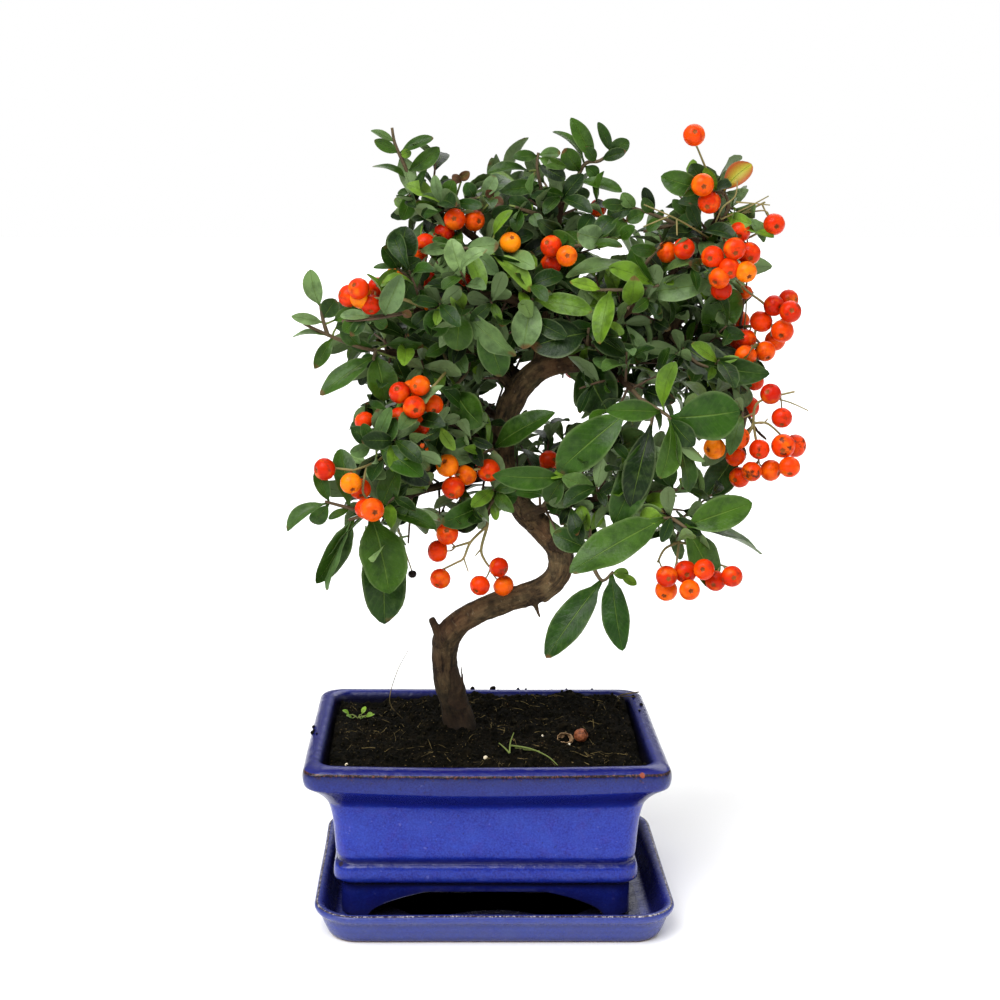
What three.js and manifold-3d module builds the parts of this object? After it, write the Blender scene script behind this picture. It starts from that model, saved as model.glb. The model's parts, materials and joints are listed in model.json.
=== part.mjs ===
// A firethorn bonsai in a blue glazed pot, which stands in its own drip tray.
// Millimetres, +Z up. The origin is on the table, under the middle of the pot.
// +X is to the right and +Y to the back, as seen from the front of the tree.

import * as THREE from 'three';
import { mergeVertices } from 'three/addons/utils/BufferGeometryUtils.js';
import Module from 'manifold-3d';

const wasm = await Module();
wasm.setup();

// Driving dimensions of the pot. Its depth is less than its width all the way up.
const RIM_WIDTH = 150;
const RIM_Z = 73.5;
const DEPTH_LESS = 32;
const FOOT_Z = 4.8;
const BODY_UNDER_Z = 16;
const POT_FLOOR_Z = 20.5;
const SKIRT = 6;
const ARCH_Z = 15.5;
const CORNER_RADIUS = 8;

// Driving dimensions of the drip tray, which sits a little off the pot's middle.
const TRAY_WIDTH = 149;
const TRAY_DEPTH = 124;
const TRAY_HEIGHT = 13.8;
const TRAY_FLOOR = 4.5;
const TRAY_CORNER = 18;
const TRAY_SHIFT = new THREE.Vector2(3.4, -4.4);

// Holes in the floor of the pot, and the plastic mesh that lies over each.
const DRAIN_X = 26;
const DRAIN_RADIUS = 5.5;
const DRAIN_MESH_SIDE = 20;
const DRAIN_MESH_THICK = 0.9;
const DRAIN_MESH_HOLE = 6;
const DRAIN_MESH_PITCH = 8;

// The tree. It was measured from the front, from this view point.
const EYE = new THREE.Vector3(-18, -711.8, 300);
const BERRY_RADIUS = 4.5;
const BERRY_FLATNESS = 0.93;
const BERRY_SHOULDER = 0.45;
const BERRY_GIRTH = 0.9;
const STEM_RADIUS = 0.9;
const STALK_RADIUS = 0.36;
const TWIG_RADIUS = 1.2;
const TWIG_TIP_RADIUS = 1;
const TWIG_SIDES = 3;
const RIB_THICK = 1.2;
const NECK_THICK = 1;
const BLADE_ARCH = 0.28;
const BLADE_IN_WOOD = 0.03;
const ROOT_HALF = 0.3;
const SLIMMEST_BLADE = 0.35;
const SMALL_BLADE = 15;
const LARGE_BLADE = 32;
const NECK_FROM = 3;
const NECK_HALF = 0.7;

// Pieces that touch keep this gap, and two solids nearer than that count as crossing.
const GAP = 0.3;
const CLEAR = 0.4;
const CROSSING = 0.001;

const GLAZE = { color: 0x2c3aa0, roughness: 0.22, metalness: 0 };
const EARTH = { color: 0x2c241e, roughness: 0.95, metalness: 0 };
const BARK = { color: 0x4b3d33, roughness: 0.85, metalness: 0 };
const LEAF = { color: 0x47683c, roughness: 0.5, metalness: 0 };
const BERRY = { color: 0xe8641c, roughness: 0.35, metalness: 0 };
const PLASTIC = { color: 0x2d2d2d, roughness: 0.6, metalness: 0 };

// A point [x, z, y] of the tree is where it shows on the plane Y = 0, and its depth y.
function seen([x, z, y]) {
  const reach = (y - EYE.y) / -EYE.y;
  return new THREE.Vector3(EYE.x + (x - EYE.x) * reach, y, EYE.z + (z - EYE.z) * reach);
}

function solid(geometry) {
  const plain = new THREE.BufferGeometry();
  plain.setAttribute('position', geometry.getAttribute('position').clone());
  plain.setIndex(geometry.getIndex());
  const merged = mergeVertices(plain, 1e-4);
  return new wasm.Manifold(new wasm.Mesh({
    numProp: 3,
    vertProperties: new Float32Array(merged.getAttribute('position').array),
    triVerts: new Uint32Array(merged.getIndex().array),
  }));
}

function join(parts) {
  return parts.reduce((whole, part) => whole.add(part));
}

// A join keeps its largest shell, so loose scraps go and sealed hollows are filled.
function largest(part) {
  return part.decompose().reduce((best, one) => (one.volume() > best.volume() ? one : best));
}

// A closed skin over rings of points, all turning the same way round the path they follow.
// A ring may shrink to an edge or a point. What is left of the end rings is closed flat.
function skin(rings) {
  const count = rings[0].length;
  const last = rings[rings.length - 1];
  const triangles = [];
  for (let k = 1; k < rings.length; k += 1) {
    for (let i = 0; i < count; i += 1) {
      const j = (i + 1) % count;
      triangles.push([rings[k - 1][i], rings[k - 1][j], rings[k][j]]);
      triangles.push([rings[k - 1][i], rings[k][j], rings[k][i]]);
    }
  }
  for (let i = 2; i < count; i += 1) {
    triangles.push([rings[0][0], rings[0][i], rings[0][i - 1]]);
    triangles.push([last[0], last[i - 1], last[i]]);
  }
  const apart = (a, b) => a.distanceTo(b) > 1e-3;
  const real = triangles.filter(([a, b, c]) => apart(a, b) && apart(b, c) && apart(c, a));
  return solid(new THREE.BufferGeometry().setFromPoints(real.flat()));
}

function roundedRing(halfX, halfY, radius, z, lift = () => 0) {
  const ring = [];
  for (const [signX, signY, start] of [[1, 1, 0], [-1, 1, 1], [-1, -1, 2], [1, -1, 3]]) {
    for (let k = 0; k < 4; k += 1) {
      const angle = (start + k / 3) * Math.PI / 2;
      const x = signX * (halfX - radius) + radius * Math.cos(angle);
      const y = signY * (halfY - radius) + radius * Math.sin(angle);
      ring.push(new THREE.Vector3(x, y, z + lift(x, y)));
    }
  }
  return ring;
}

function box(width, depth, height, x, y, z) {
  const geometry = new THREE.BoxGeometry(width, depth, height);
  geometry.translate(x, y, z);
  return solid(geometry);
}

function tube(points, radii, sides) {
  const rings = [];
  let across = new THREE.Vector3(0.3, -1, 0.2);
  points.forEach((point, i) => {
    const from = points[Math.max(i - 1, 0)];
    const to = points[Math.min(i + 1, points.length - 1)];
    const along = to.clone().sub(from).normalize();
    across = across.clone().addScaledVector(along, -across.dot(along)).normalize();
    const third = along.clone().cross(across);
    const ring = [];
    for (let k = 0; k < sides; k += 1) {
      const angle = k / sides * Math.PI * 2;
      const spoke = across.clone().multiplyScalar(Math.cos(angle));
      spoke.addScaledVector(third, Math.sin(angle));
      ring.push(point.clone().addScaledVector(spoke, radii[i]));
    }
    rings.push(ring);
  });
  return skin(rings);
}

// Pot: half width of the outside at each height, from the feet up to the thick rolled rim,
// then down the inside to the floor.
const potOutside = [
  [FOOT_Z, 60.5], [17, 60.6], [19.6, 61], [20.6, 62.9], [24, 63.5], [27.3, 63],
  [28.7, 61.8], [31.5, 62.7], [40, 63.1], [48, 63.8], [54, 65.2], [58.5, 68], [61.5, 71],
  [63.6, 73.6], [65.2, 74.6], [68.5, RIM_WIDTH / 2], [71.2, 74.7], [72.7, 73.4], [RIM_Z, 71.5],
];
const potInside = [
  [RIM_Z, 68.9], [72.7, 67.8], [68, 66.9], [63, 65.2], [56, 61], [46, 58.6], [30, 57.6],
  [POT_FLOOR_Z, 56.5],
];

// The arch between two feet rises steeply from each foot and flattens out over its reach.
// It is cut right through the skirt.
function archCut(half, reach, alongY) {
  const below = FOOT_Z - 2;
  const shape = new THREE.Shape();
  shape.moveTo(-half, below);
  shape.lineTo(-half, FOOT_Z);
  const bend = half - reach * 0.42;
  shape.bezierCurveTo(-half, FOOT_Z + 4, -bend, ARCH_Z - 4, -half + reach, ARCH_Z);
  shape.lineTo(half - reach, ARCH_Z);
  shape.bezierCurveTo(bend, ARCH_Z - 4, half, FOOT_Z + 4, half, FOOT_Z);
  shape.lineTo(half, below);
  const through = RIM_WIDTH + 10;
  const geometry = new THREE.ExtrudeGeometry(shape, {
    depth: through, bevelEnabled: false, curveSegments: 3,
  });
  geometry.translate(0, 0, -through / 2);
  geometry.rotateX(Math.PI / 2);
  if (alongY) {
    geometry.rotateZ(Math.PI / 2);
  }
  return solid(geometry);
}

function drainHole(x) {
  const geometry = new THREE.CylinderGeometry(DRAIN_RADIUS, DRAIN_RADIUS, 12, 10);
  geometry.rotateX(Math.PI / 2);
  geometry.translate(x, 0, POT_FLOOR_Z - 2);
  return solid(geometry);
}

function makePot() {
  const less = DEPTH_LESS / 2;
  const ring = ([z, half]) => roundedRing(half, half - less, CORNER_RADIUS, z);
  let pot = skin([...potOutside.map(ring), ...potInside.map(ring)]);
  const footHalf = potOutside[0][1];
  pot = pot.subtract(skin([
    roundedRing(footHalf - SKIRT, footHalf - less - SKIRT, CORNER_RADIUS - 4, FOOT_Z - 2),
    roundedRing(footHalf - SKIRT, footHalf - less - SKIRT, CORNER_RADIUS - 4, BODY_UNDER_Z),
  ]));
  pot = pot.subtract(archCut(49, 24, false));
  pot = pot.subtract(archCut(32, 14, true));
  return pot.subtract(drainHole(-DRAIN_X)).subtract(drainHole(DRAIN_X));
}

// Drip tray: half width at each height, up the outside and down the inside. Its corners are
// widest at the rim.
function makeTray() {
  const halfX = TRAY_WIDTH / 2;
  const less = (TRAY_WIDTH - TRAY_DEPTH) / 2;
  const profile = [
    [0, 67.2], [1.4, 69], [5, 70.6], [9, 72.2], [11.2, 73.8], [12.6, halfX], [13.4, 74],
    [TRAY_HEIGHT, 72.6], [13.5, 70.9], [12.2, 69.5], [8, 68], [TRAY_FLOOR + 0.7, 66.6],
    [TRAY_FLOOR, 65.2],
  ];
  const tray = skin(profile.map(([z, half]) => (
    roundedRing(half, half - less, TRAY_CORNER - (halfX - half), z)
  )));
  return tray.translate([TRAY_SHIFT.x, TRAY_SHIFT.y, 0]);
}

// Soil: lumps on its top, which rises to the back. It is low in the back left corner, with a
// mound round the foot of the trunk.
function soilLift(x, y) {
  const lumps = Math.sin(x * 0.31 + y * 0.17) + Math.sin(x * 0.13 - y * 0.37 + 1.4);
  const mound = 2.5 * Math.exp(-((x + 14) ** 2 + (y - 6) ** 2) / 330);
  const hollow = 4.5 * Math.exp(-((x + 54) ** 2 + (y - 42) ** 2) / 500);
  return lumps * 0.6 + y * 0.075 + mound - hollow;
}

const SOIL_TOP = 69.5;
const SOIL_EDGE_Z = 63;
const SOIL_EDGE_DROP = 1;
const SOIL_CLEAR = 0.6;

function makeSoil(trunkHole) {
  const less = DEPTH_LESS / 2;
  const wall = [...potInside].reverse().filter(([z]) => z < SOIL_EDGE_Z + 1).map(([z, half], i) => (
    [i === 0 ? z + GAP : z, half - SOIL_CLEAR]
  ));
  const rings = wall.map(([z, half]) => roundedRing(half, half - less, CORNER_RADIUS, z));
  const edge = wall[wall.length - 1][1] + 0.4;
  const edgeZ = SOIL_TOP - SOIL_EDGE_DROP;
  rings.push(roundedRing(edge, edge - less, CORNER_RADIUS, edgeZ, soilLift));
  for (const share of [0.92, 0.76, 0.56, 0.36, 0.16]) {
    const radius = CORNER_RADIUS * share;
    rings.push(roundedRing(edge * share, (edge - less) * share, radius, SOIL_TOP, soilLift));
  }
  const spread = DRAIN_MESH_SIDE + 2 * CLEAR;
  const pocket = (x) => box(spread, spread, 3, x, 0, POT_FLOOR_Z + GAP * 2 + DRAIN_MESH_THICK - 1.5);
  return skin(rings).subtract(trunkHole).subtract(pocket(-DRAIN_X)).subtract(pocket(DRAIN_X));
}

function makeDrainMesh(x) {
  const z = POT_FLOOR_Z + GAP + DRAIN_MESH_THICK / 2;
  let mesh = box(DRAIN_MESH_SIDE, DRAIN_MESH_SIDE, DRAIN_MESH_THICK, x, 0, z);
  for (const i of [-0.5, 0.5]) {
    for (const j of [-0.5, 0.5]) {
      const side = DRAIN_MESH_HOLE;
      mesh = mesh.subtract(box(side, side, 4, x + i * DRAIN_MESH_PITCH, j * DRAIN_MESH_PITCH, z));
    }
  }
  return mesh;
}

// Trunk, from its foot in the soil to the fork: [x, z, depth, radius].
const TRUNK = [
  [-12.5, 42, 6, 7], [-12.5, 55, 6, 7.2], [-13, 72, 6, 6.9], [-14.5, 82, 6, 6.4],
  [-16, 92, 5.5, 6.2], [-17.5, 102, 5, 5.6], [-17, 110, 4, 5.9], [-13.5, 117, 3, 5.9],
  [-7, 122.5, 2, 5.4], [1, 126.5, 1, 5.2], [10, 130, 0, 5.3], [20, 132.5, -1, 5.2],
  [28, 136.5, -2, 5.2], [32.5, 143, -2, 5.2], [32.5, 150, -2, 5.2], [28.5, 156.5, -1, 5.3],
  [22.5, 163, 0, 5.3], [16, 169.5, 1, 5.4], [11, 177, 2, 5.2], [8, 186, 3, 5],
  [7.5, 196, 3, 4.8], [8.5, 206, 3, 4.9], [11, 215, 2, 5.2], [16, 223, 2, 5.3],
  [23, 229, 2, 4.8], [31, 231, 2, 4.4], [40, 231.5, 4, 3.9], [50, 234, 6, 3.5],
  [62, 238, 6, 3.1], [72, 240, 4, 2.8], [77, 243, 2, 2.6], [80, 251, 0, 2.2],
  [83.5, 261, -2, 1.9], [87.5, 272, -4, 1.7], [91, 282, -6, 1.5], [95, 291, -8, 1.2],
  [99, 297, -10, 1],
];

// Limbs, each from the middle of the wood that it grows from: [x, z, depth, radius].
const LIMBS = [
  // Up to the top of the crown.
  [[23, 229, 2, 3.4], [24, 240, 6, 3.2], [24, 252, 8, 2.8], [26, 264, 8, 2.5],
    [28, 276, 6, 2.2], [29, 288, 2, 1.9], [31, 298, 0, 1.5]],
  [[24, 252, 8, 2.4], [16, 262, 4, 2.4], [8, 272, 0, 2.1], [-2, 281, -2, 1.9],
    [-12, 289, -2, 1.6], [-22, 294.5, 0, 1.4], [-28.5, 298.5, 2, 1.2]],
  // Left side.
  [[24, 244, 6, 2.4], [14, 257, -8, 2.4], [0, 259, -16, 2.1], [-12, 256.5, -20, 1.8],
    [-30, 253, -26, 1.4]],
  [[13, 219, 2, 2.6], [4, 229, 6, 2.4], [-6, 237, 6, 2.2], [-18, 237, 2, 2],
    [-30, 235.5, -4, 1.7], [-42, 236, -10, 1.5]],
  [[8, 186, 3, 2.3], [-2, 183, 2, 2.2], [-12, 181, 0, 2], [-20, 179, -4, 1.8],
    [-28, 177, -8, 1.7], [-35, 174, -14, 1.5], [-42, 170, -20, 1.3], [-47, 167, -24, 1.1]],
  [[7.5, 197, 3, 1.5], [-3, 200, -2, 1.4], [-12, 205, -8, 1.2], [-22, 206, -16, 1.1],
    [-34, 201, -24, 1], [-44, 196, -30, 0.9]],
  [[10, 178, 2, 1.5], [5, 178, -4, 1.4], [3, 172, -8, 1.1], [1, 166, -10, 0.9]],
  // Right side, low.
  [[17, 168, 0, 2], [24, 169.5, -6, 1.9], [30, 171.5, -10, 1.7], [45, 173.5, -18, 1.4],
    [58, 174.5, -24, 1.2], [71, 176, -28, 1.1], [78, 164, -32, 0.9], [83, 160, -34, 0.8]],
  [[29.5, 155, -1, 1.3], [38, 153, -14, 1.2], [45, 148, -22, 1]],
  // Right side, middle and high.
  [[50, 234, 6, 1.8], [56, 226, -10, 1.6], [62, 220, -22, 1.3]],
  [[77, 243, 2, 1.6], [88, 233, -8, 1.4], [98, 225, -14, 1.2], [105, 218, -18, 1],
    [110, 211, -20, 0.9], [114, 204, -22, 0.8], [119, 199, -24, 0.7]],
  [[77, 243, 2, 1.4], [90, 241.5, -2, 1.2], [100, 245, -6, 0.9], [108, 246.8, -8, 0.8]],
  [[40, 231.5, 4, 2.6], [48, 243, -2, 2.4], [58, 252.5, -6, 2.1], [71, 262, -10, 1.8],
    [80, 271, -12, 1.4]],
  // To the back.
  [[16, 223, 2, 2.5], [8, 232, 20, 2.4], [-4, 244, 36, 1.9], [-18, 254, 48, 1.4]],
  [[31, 231, 2, 2.5], [38, 240, 22, 2.4], [48, 250, 40, 1.9], [58, 262, 54, 1.4]],
  [[24, 264, 8, 2], [20, 278, 24, 1.9], [14, 290, 36, 1.4]],
  [[62, 238, 6, 1.7], [74, 232, 24, 1.6], [84, 224, 40, 1.2]],
  [[8.5, 206, 3, 1.9], [0, 212, 20, 1.8], [-14, 216, 36, 1.4], [-28, 214, 48, 1.1]],
  [[11, 177, 2, 1.6], [20, 184, 18, 1.5], [32, 190, 34, 1.2], [44, 190, 46, 1]],
  [[72, 240, 4, 1.6], [82, 250, 22, 1.5], [90, 260, 38, 1.2]],
  [[-6, 237, 6, 1.7], [-22, 242, 22, 1.5], [-38, 242, 34, 1.2]],
  // A cut stub, a thorn and a dead spike on the trunk.
  [[-17, 110, 4, 2.6], [-19, 113, 2, 2.1], [-23, 121.5, 0, 1.6]],
  [[20.5, 132, -1, 1.6], [22, 127, -3, 1.2], [24, 121.5, -4, 0.5]],
  [[-12, 84, 4, 1.1], [-9.5, 90, 0, 0.9], [-10, 100, -1, 0.5]],
];

function woodTube(path, sides, grow) {
  const points = path.map(seen);
  const radii = path.map((point) => point[3] + grow);
  if (grow > 0) {
    const ends = [[0, 1], [points.length - 1, points.length - 2]];
    for (const [end, next] of ends) {
      const outward = points[end].clone().sub(points[next]).normalize();
      points[end].addScaledVector(outward, grow);
    }
  }
  return tube(points, radii, sides);
}

function makeWood(grow) {
  const limbs = LIMBS.map((path) => woodTube(path, path[0][3] < 2.5 ? 4 : 5, grow));
  return join([woodTube(TRUNK, 8, grow), ...limbs]);
}

// Berry bunches. Stems are [x, z, depth] paths, the first from the middle of the wood and
// the others from the first. Berries are [x, z], and hang where a stem is nearest.
const BUNCHES = [
  {
    name: 'berries_top_right',
    stems: [[[97, 294.5, -9], [95, 303, -14], [91, 310, -14], [86, 321, -14]]],
    berries: [[85, 325], [89, 305], [92, 298]],
  },
  {
    name: 'berries_right_high',
    stems: [
      [[97, 294, -9], [98, 284, -18], [101, 277, -22]],
      [[98, 284, -18], [105, 282, -20], [117, 288, -20]],
      [[97.4, 289, -13.5], [107, 294, -17], [115, 298, -17]],
    ],
    berries: [[119, 289], [105, 286], [103, 279], [109, 277], [94, 275.5], [101, 271],
      [108, 269.5], [97, 267], [98, 262]],
  },
  {
    name: 'berries_right_inner',
    stems: [[[80, 271, -12], [79, 274, -18]]],
    berries: [[75, 277.5], [82, 279]],
  },
  {
    name: 'berries_right_edge',
    stems: [
      [[108, 246.8, -8], [113, 247, -13], [119, 247, -16], [124, 250, -16]],
      [[113, 247, -13], [112, 240, -16]],
      [[119, 247, -16], [117, 255, -16], [109.5, 261, -14], [104, 266, -12]],
    ],
    berries: [[120, 255.5], [126, 258], [127, 253], [115, 249], [124, 245], [121, 241],
      [109, 241.5], [117, 236.5], [105, 239], [109, 234.5]],
  },
  {
    name: 'berries_far_right',
    stems: [
      [[112, 207.5, -21], [113, 206, -28], [110, 200, -30], [104, 197, -30]],
      [[113, 206, -28], [119, 206, -30], [126, 200, -30]],
      [[113, 206, -28], [114, 214, -30], [120, 217, -30], [130, 219.5, -30]],
      [[113, 206, -28], [115, 196, -30], [116, 189, -30]],
    ],
    berries: [[101, 208], [97, 195.5], [107, 200], [106, 192], [116, 195], [113, 185.5],
      [108, 183], [121, 186], [126, 196.5], [131, 196.5], [129, 187.5], [120, 218.5],
      [125, 208.5]],
  },
  {
    name: 'berries_right_low',
    stems: [
      [[83, 160, -34], [83, 155, -36], [82, 145, -38]],
      [[83, 155, -36], [77, 152, -37], [74, 146, -38]],
      [[83, 155, -36], [89, 153, -37], [93, 148, -38], [104, 144, -38]],
    ],
    berries: [[78, 140], [78, 134], [86, 142], [88, 134], [94, 143], [99, 138], [106, 140]],
  },
  {
    name: 'berries_center_low',
    stems: [
      [[1, 166, -10], [1, 162, -13], [-1.5, 152, -14], [0, 147, -14], [3, 143, -14]],
      [[1, 162, -13], [-6, 155, -17], [-9, 148, -18], [-12, 146, -18], [-18, 143, -18]],
      [[-6, 155, -17], [-14, 152.5, -18]],
    ],
    berries: [[-2, 136], [6, 144], [8, 136], [-16, 158.5], [-20, 151], [-19, 139]],
  },
  {
    name: 'berries_center',
    stems: [[[8, 190, 3], [3, 188, -9], [-5, 186, -16], [-12, 184, -18]]],
    berries: [[-16, 188], [-13.5, 178.5], [-8, 184], [1.5, 186]],
  },
  {
    name: 'berries_left_low',
    stems: [
      [[-40, 198.3, -27.5], [-44, 191, -30], [-50, 188, -36], [-56, 186, -38]],
      [[-50, 188, -36], [-52, 178, -38], [-50, 173, -38]],
      [[-56, 186, -38], [-64, 187, -38]],
    ],
    berries: [[-57, 180.5], [-53, 178], [-51, 169.5], [-48, 169], [-68, 186.5]],
  },
  {
    name: 'berries_left_middle',
    stems: [[[-18, 237, 2], [-16, 230, -10], [-19, 225, -22], [-25, 219, -28], [-33, 214, -30]]],
    berries: [[-36, 219], [-31, 220], [-27.5, 222], [-30, 213], [-36, 208.5], [-22, 214],
      [-28, 205]],
  },
  {
    name: 'berries_left_high',
    stems: [[[-25, 254, -24.3], [-34, 258, -32], [-44, 258.5, -34], [-50, 259, -34]]],
    berries: [[-53, 262.5], [-57, 259.5], [-52, 259], [-48, 256], [-45, 263]],
  },
  {
    name: 'berries_crown_left',
    stems: [[[-12, 289, -2], [-18, 286, -10], [-23, 283, -14]]],
    berries: [[-25, 281], [-28, 277], [-17.5, 285]],
  },
  {
    name: 'berries_crown_front',
    stems: [[[-12, 289, -2], [-9, 290, -9]]],
    berries: [[-13, 291], [-5, 290.5]],
  },
  {
    name: 'berry_crown_middle',
    stems: [[[9, 271, 0.5], [11, 276, -10], [10, 279, -14]]],
    berries: [[10, 281.5]],
  },
  {
    name: 'berries_crown_right',
    stems: [[[27, 270, 7], [33, 273, -8], [31, 275, -18]]],
    berries: [[27, 280], [27, 272.5], [33.5, 276]],
  },
];

// Leafy sprays. Twigs are [x, z, depth] paths, the first from the middle of the wood and
// the others from the first. A leaf is [base x, base z, tip x, tip z, width as seen, how
// much nearer or farther its tip is than its base].
const SPRAYS = [
  {
    name: 'leaf_spray_left_low',
    twigs: [
      [[-47, 167, -24], [-50, 167, -28], [-53, 166, -31], [-58, 164.5, -33]],
      [[-50, 167, -28], [-57, 169.5, -32], [-68, 172.5, -36]],
    ],
    leaves: [
      [-46, 167, -42.5, 132, 21, -14], [-45, 163, -42, 118.5, 19, -2],
      [-56, 165, -74, 137, 10, -4], [-52, 165, -70, 140, 7, 2], [-57, 163, -61, 152, 6, 4],
      [-43, 168, -21, 160.5, 8, -8], [-44, 170, -36, 187, 10, -8],
      [-47, 168, -33, 180, 8, 4], [-68, 173, -72, 186, 6, -4], [-67, 172, -86, 162, 5, -2],
      [-66, 171, -74, 163, 7, 2], [-58, 171, -61, 195, 10, 6],
    ],
  },
  {
    name: 'leaf_spray_left_middle',
    twigs: [[[-44, 196, -30], [-46, 196, -34], [-49, 196, -38]]],
    leaves: [
      [-43, 197, -25, 184, 11, -10], [-42, 193, -24, 180, 9, 2], [-47, 196, -57, 204, 7, -2],
      [-48, 195, -57, 194, 6, -6], [-46, 197, -37, 208, 8, 2],
      [-46, 192, -45, 182, 8, -8], [-44, 199, -30, 200, 9, 6],
    ],
  },
  {
    name: 'leaf_spray_center_low',
    twigs: [[[4, 175, -6], [4, 174, -13], [1, 169, -16]]],
    leaves: [
      [3, 177, -19, 162.5, 11, -8], [-1, 166, -12, 161, 6, 0], [5, 173, 5, 164, 4, -4],
      [6, 178, 14, 175, 8, -4],
    ],
  },
  {
    name: 'leaf_spray_center',
    twigs: [[[7.5, 196, 3], [3, 195, -6], [-1, 193.5, -10]]],
    leaves: [
      [3, 196, 28, 213, 10, -12], [0, 195, -19, 192, 8, -6], [0, 193, -9, 195, 4, -8],
      [-1, 194, -0.5, 212, 1.6, -2], [2, 197, -2, 206, 6, 4],
    ],
  },
  {
    name: 'leaf_spray_left_inner',
    twigs: [[[-6, 237, 6], [-8, 228, -4], [-13, 221, -14], [-17, 211, -16]]],
    leaves: [
      [-14, 220, -1, 206, 15, -8], [-10, 229, -28, 231, 9, -4], [-9, 232, -20, 241, 8, -6],
      [-14, 222, -17, 208, 8, 4], [-17, 210, -22, 190, 7, 4],
    ],
  },
  {
    name: 'leaf_spray_left_tip',
    twigs: [
      [[-42, 236, -10], [-54, 238.7, -16], [-66, 243.3, -20], [-72, 246, -22], [-76, 248, -23]],
      [[-66, 243.3, -20], [-68, 250, -22], [-69, 256, -24]],
      [[-46, 236.9, -12], [-47, 233, -18]],
    ],
    leaves: [
      [-69, 248, -81, 252, 4, -2], [-65, 242, -81, 243, 3, -4], [-65, 241, -72.5, 229, 6, -2],
      [-69, 256, -73, 270, 8, -4], [-67, 250, -63, 258.5, 8, -2], [-64, 249, -53, 256, 5, -6],
      [-49, 235, -69, 218, 8, -4], [-49, 232, -53, 222, 5, 2],
      [-44, 235, -42, 215.5, 13, -6], [-38, 234, -33, 221, 9, 2], [-52, 240, -60, 247, 7, -6],
      [-42, 239, -26, 238.5, 6, -6],
    ],
  },
  {
    name: 'leaf_spray_left_high_tip',
    twigs: [[[-30, 253, -26], [-45, 251, -30], [-60, 249, -34]]],
    leaves: [
      [-47, 251, -61, 252, 4, -2], [-52, 249, -60, 245, 6, -2], [-43, 254, -36, 268, 9, -6],
      [-37, 253, -31, 265, 11, -6],
      [-36, 252, -26, 247, 7, 2],
    ],
  },
  {
    name: 'leaf_spray_left_high_middle',
    twigs: [
      [[-14, 256.5, -20], [-12, 254.5, -27], [-4, 251, -29]],
      [[-12, 254.5, -27], [-18, 254, -29], [-24, 254, -29]],
    ],
    leaves: [
      [-9, 254, 14, 234, 13, -8], [-11, 253, -12, 236, 13, -2], [-16, 254, -24, 244, 11, -4],
      [-2, 250, 6, 225, 13, 6], [-24, 254, -30, 246, 8, 4],
      [-7, 259, -14, 262, 7, -4],
    ],
  },
  {
    name: 'leaf_spray_left_crown',
    twigs: [[[-20, 255, -22], [-26, 262, -22], [-34, 269, -25], [-37, 271, -26]]],
    leaves: [
      [-36, 271, -34, 288, 13, -2], [-37, 270, -43, 280, 9, -6], [-35, 270, -27, 275, 7, -6],
      [-35, 268, -23, 269, 6, 2], [-38, 269, -46, 263, 5, -4], [-37, 270, -47, 271, 3, 0],
    ],
  },
  {
    name: 'leaf_spray_crown_left',
    twigs: [[[8, 272, 0], [2, 277, -14], [-6, 279, -18], [-14, 279, -18]]],
    leaves: [
      [-13, 279, -27, 277, 5, -4], [-14, 277, -16, 263, 13, -6],
      [-8, 277, -1, 261, 7, -10], [-9, 279, 6, 281, 8, -4], [-6, 276, 5, 268, 7, -6],
      [-12, 277, -20, 270, 8, 2], [1, 276, 18, 261, 6, -10], [2, 278, 14, 273, 6, -4],
      [3, 284, 10, 295, 4, -4], [6, 283, 12, 290, 6, -2],
      [6, 279, 20, 285, 7, 2],
    ],
  },
  {
    name: 'leaf_spray_top_left',
    twigs: [[[-22, 294.5, 0], [-18, 297, -6], [-13, 298, -8], [-3, 300, -8]]],
    leaves: [
      [-20, 296, -26, 301, 7, -6], [-17, 297, -14, 307, 7, -4], [-18, 298, -21, 309.5, 5, -2],
      [-13, 298, -1, 297, 5, -6], [-5, 300, -9, 306, 6, -2],
      [-1, 300, 4, 308.5, 6, -2], [-20, 294, -24, 285, 7, -2], [-26, 296, -22, 290, 6, -4],
      [-23, 292, -31, 291, 3, 0],
    ],
  },
  {
    name: 'leaf_spray_top_left_shoot',
    twigs: [[[-28.5, 298.5, 2], [-31, 306, 0], [-33.5, 312.5, -2], [-37.5, 321.5, -4],
      [-38.7, 328, -5]]],
    leaves: [
      [-31, 311, -20, 320, 7, -4], [-34, 319, -22, 324, 3.5, -2], [-32, 307, -47, 312, 3.5, -3],
      [-35, 318, -46, 323, 5, -3],
      [-31, 305, -25, 306.5, 3, -2], [-30, 301, -35, 291, 7, -5],
    ],
  },
  {
    name: 'leaf_spray_top_center',
    twigs: [
      [[28, 276, 6], [25, 290, 2], [22, 306, -3], [20.8, 312.5, -4], [21.3, 318, -4]],
      [[24.6, 292, 1.4], [18, 294, -8], [12, 296, -12]],
    ],
    leaves: [
      [19.5, 317, 11, 315.5, 5, -3], [18, 310.5, 0.5, 310.5, 4.5, -2], [20, 304, 5.5, 302, 7, -5],
      [22, 313, 33, 307, 7, -3], [23, 316, 33, 312, 5, -5], [20, 295, 9, 299.5, 7, -4],
      [18, 291, 22, 288, 6, -5], [16, 293, 6, 291, 7, -3],
      [22, 292, 30, 296, 7, -3], [14, 294, 12, 286, 6, -3], [10, 297, 2, 292, 6, -2],
    ],
  },
  {
    name: 'leaf_spray_top',
    twigs: [[[31, 298, 0], [36, 305, 0], [40.5, 313.5, 0], [46, 314.5, -2], [50, 317, -3],
      [57, 321.5, -5]]],
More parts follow.
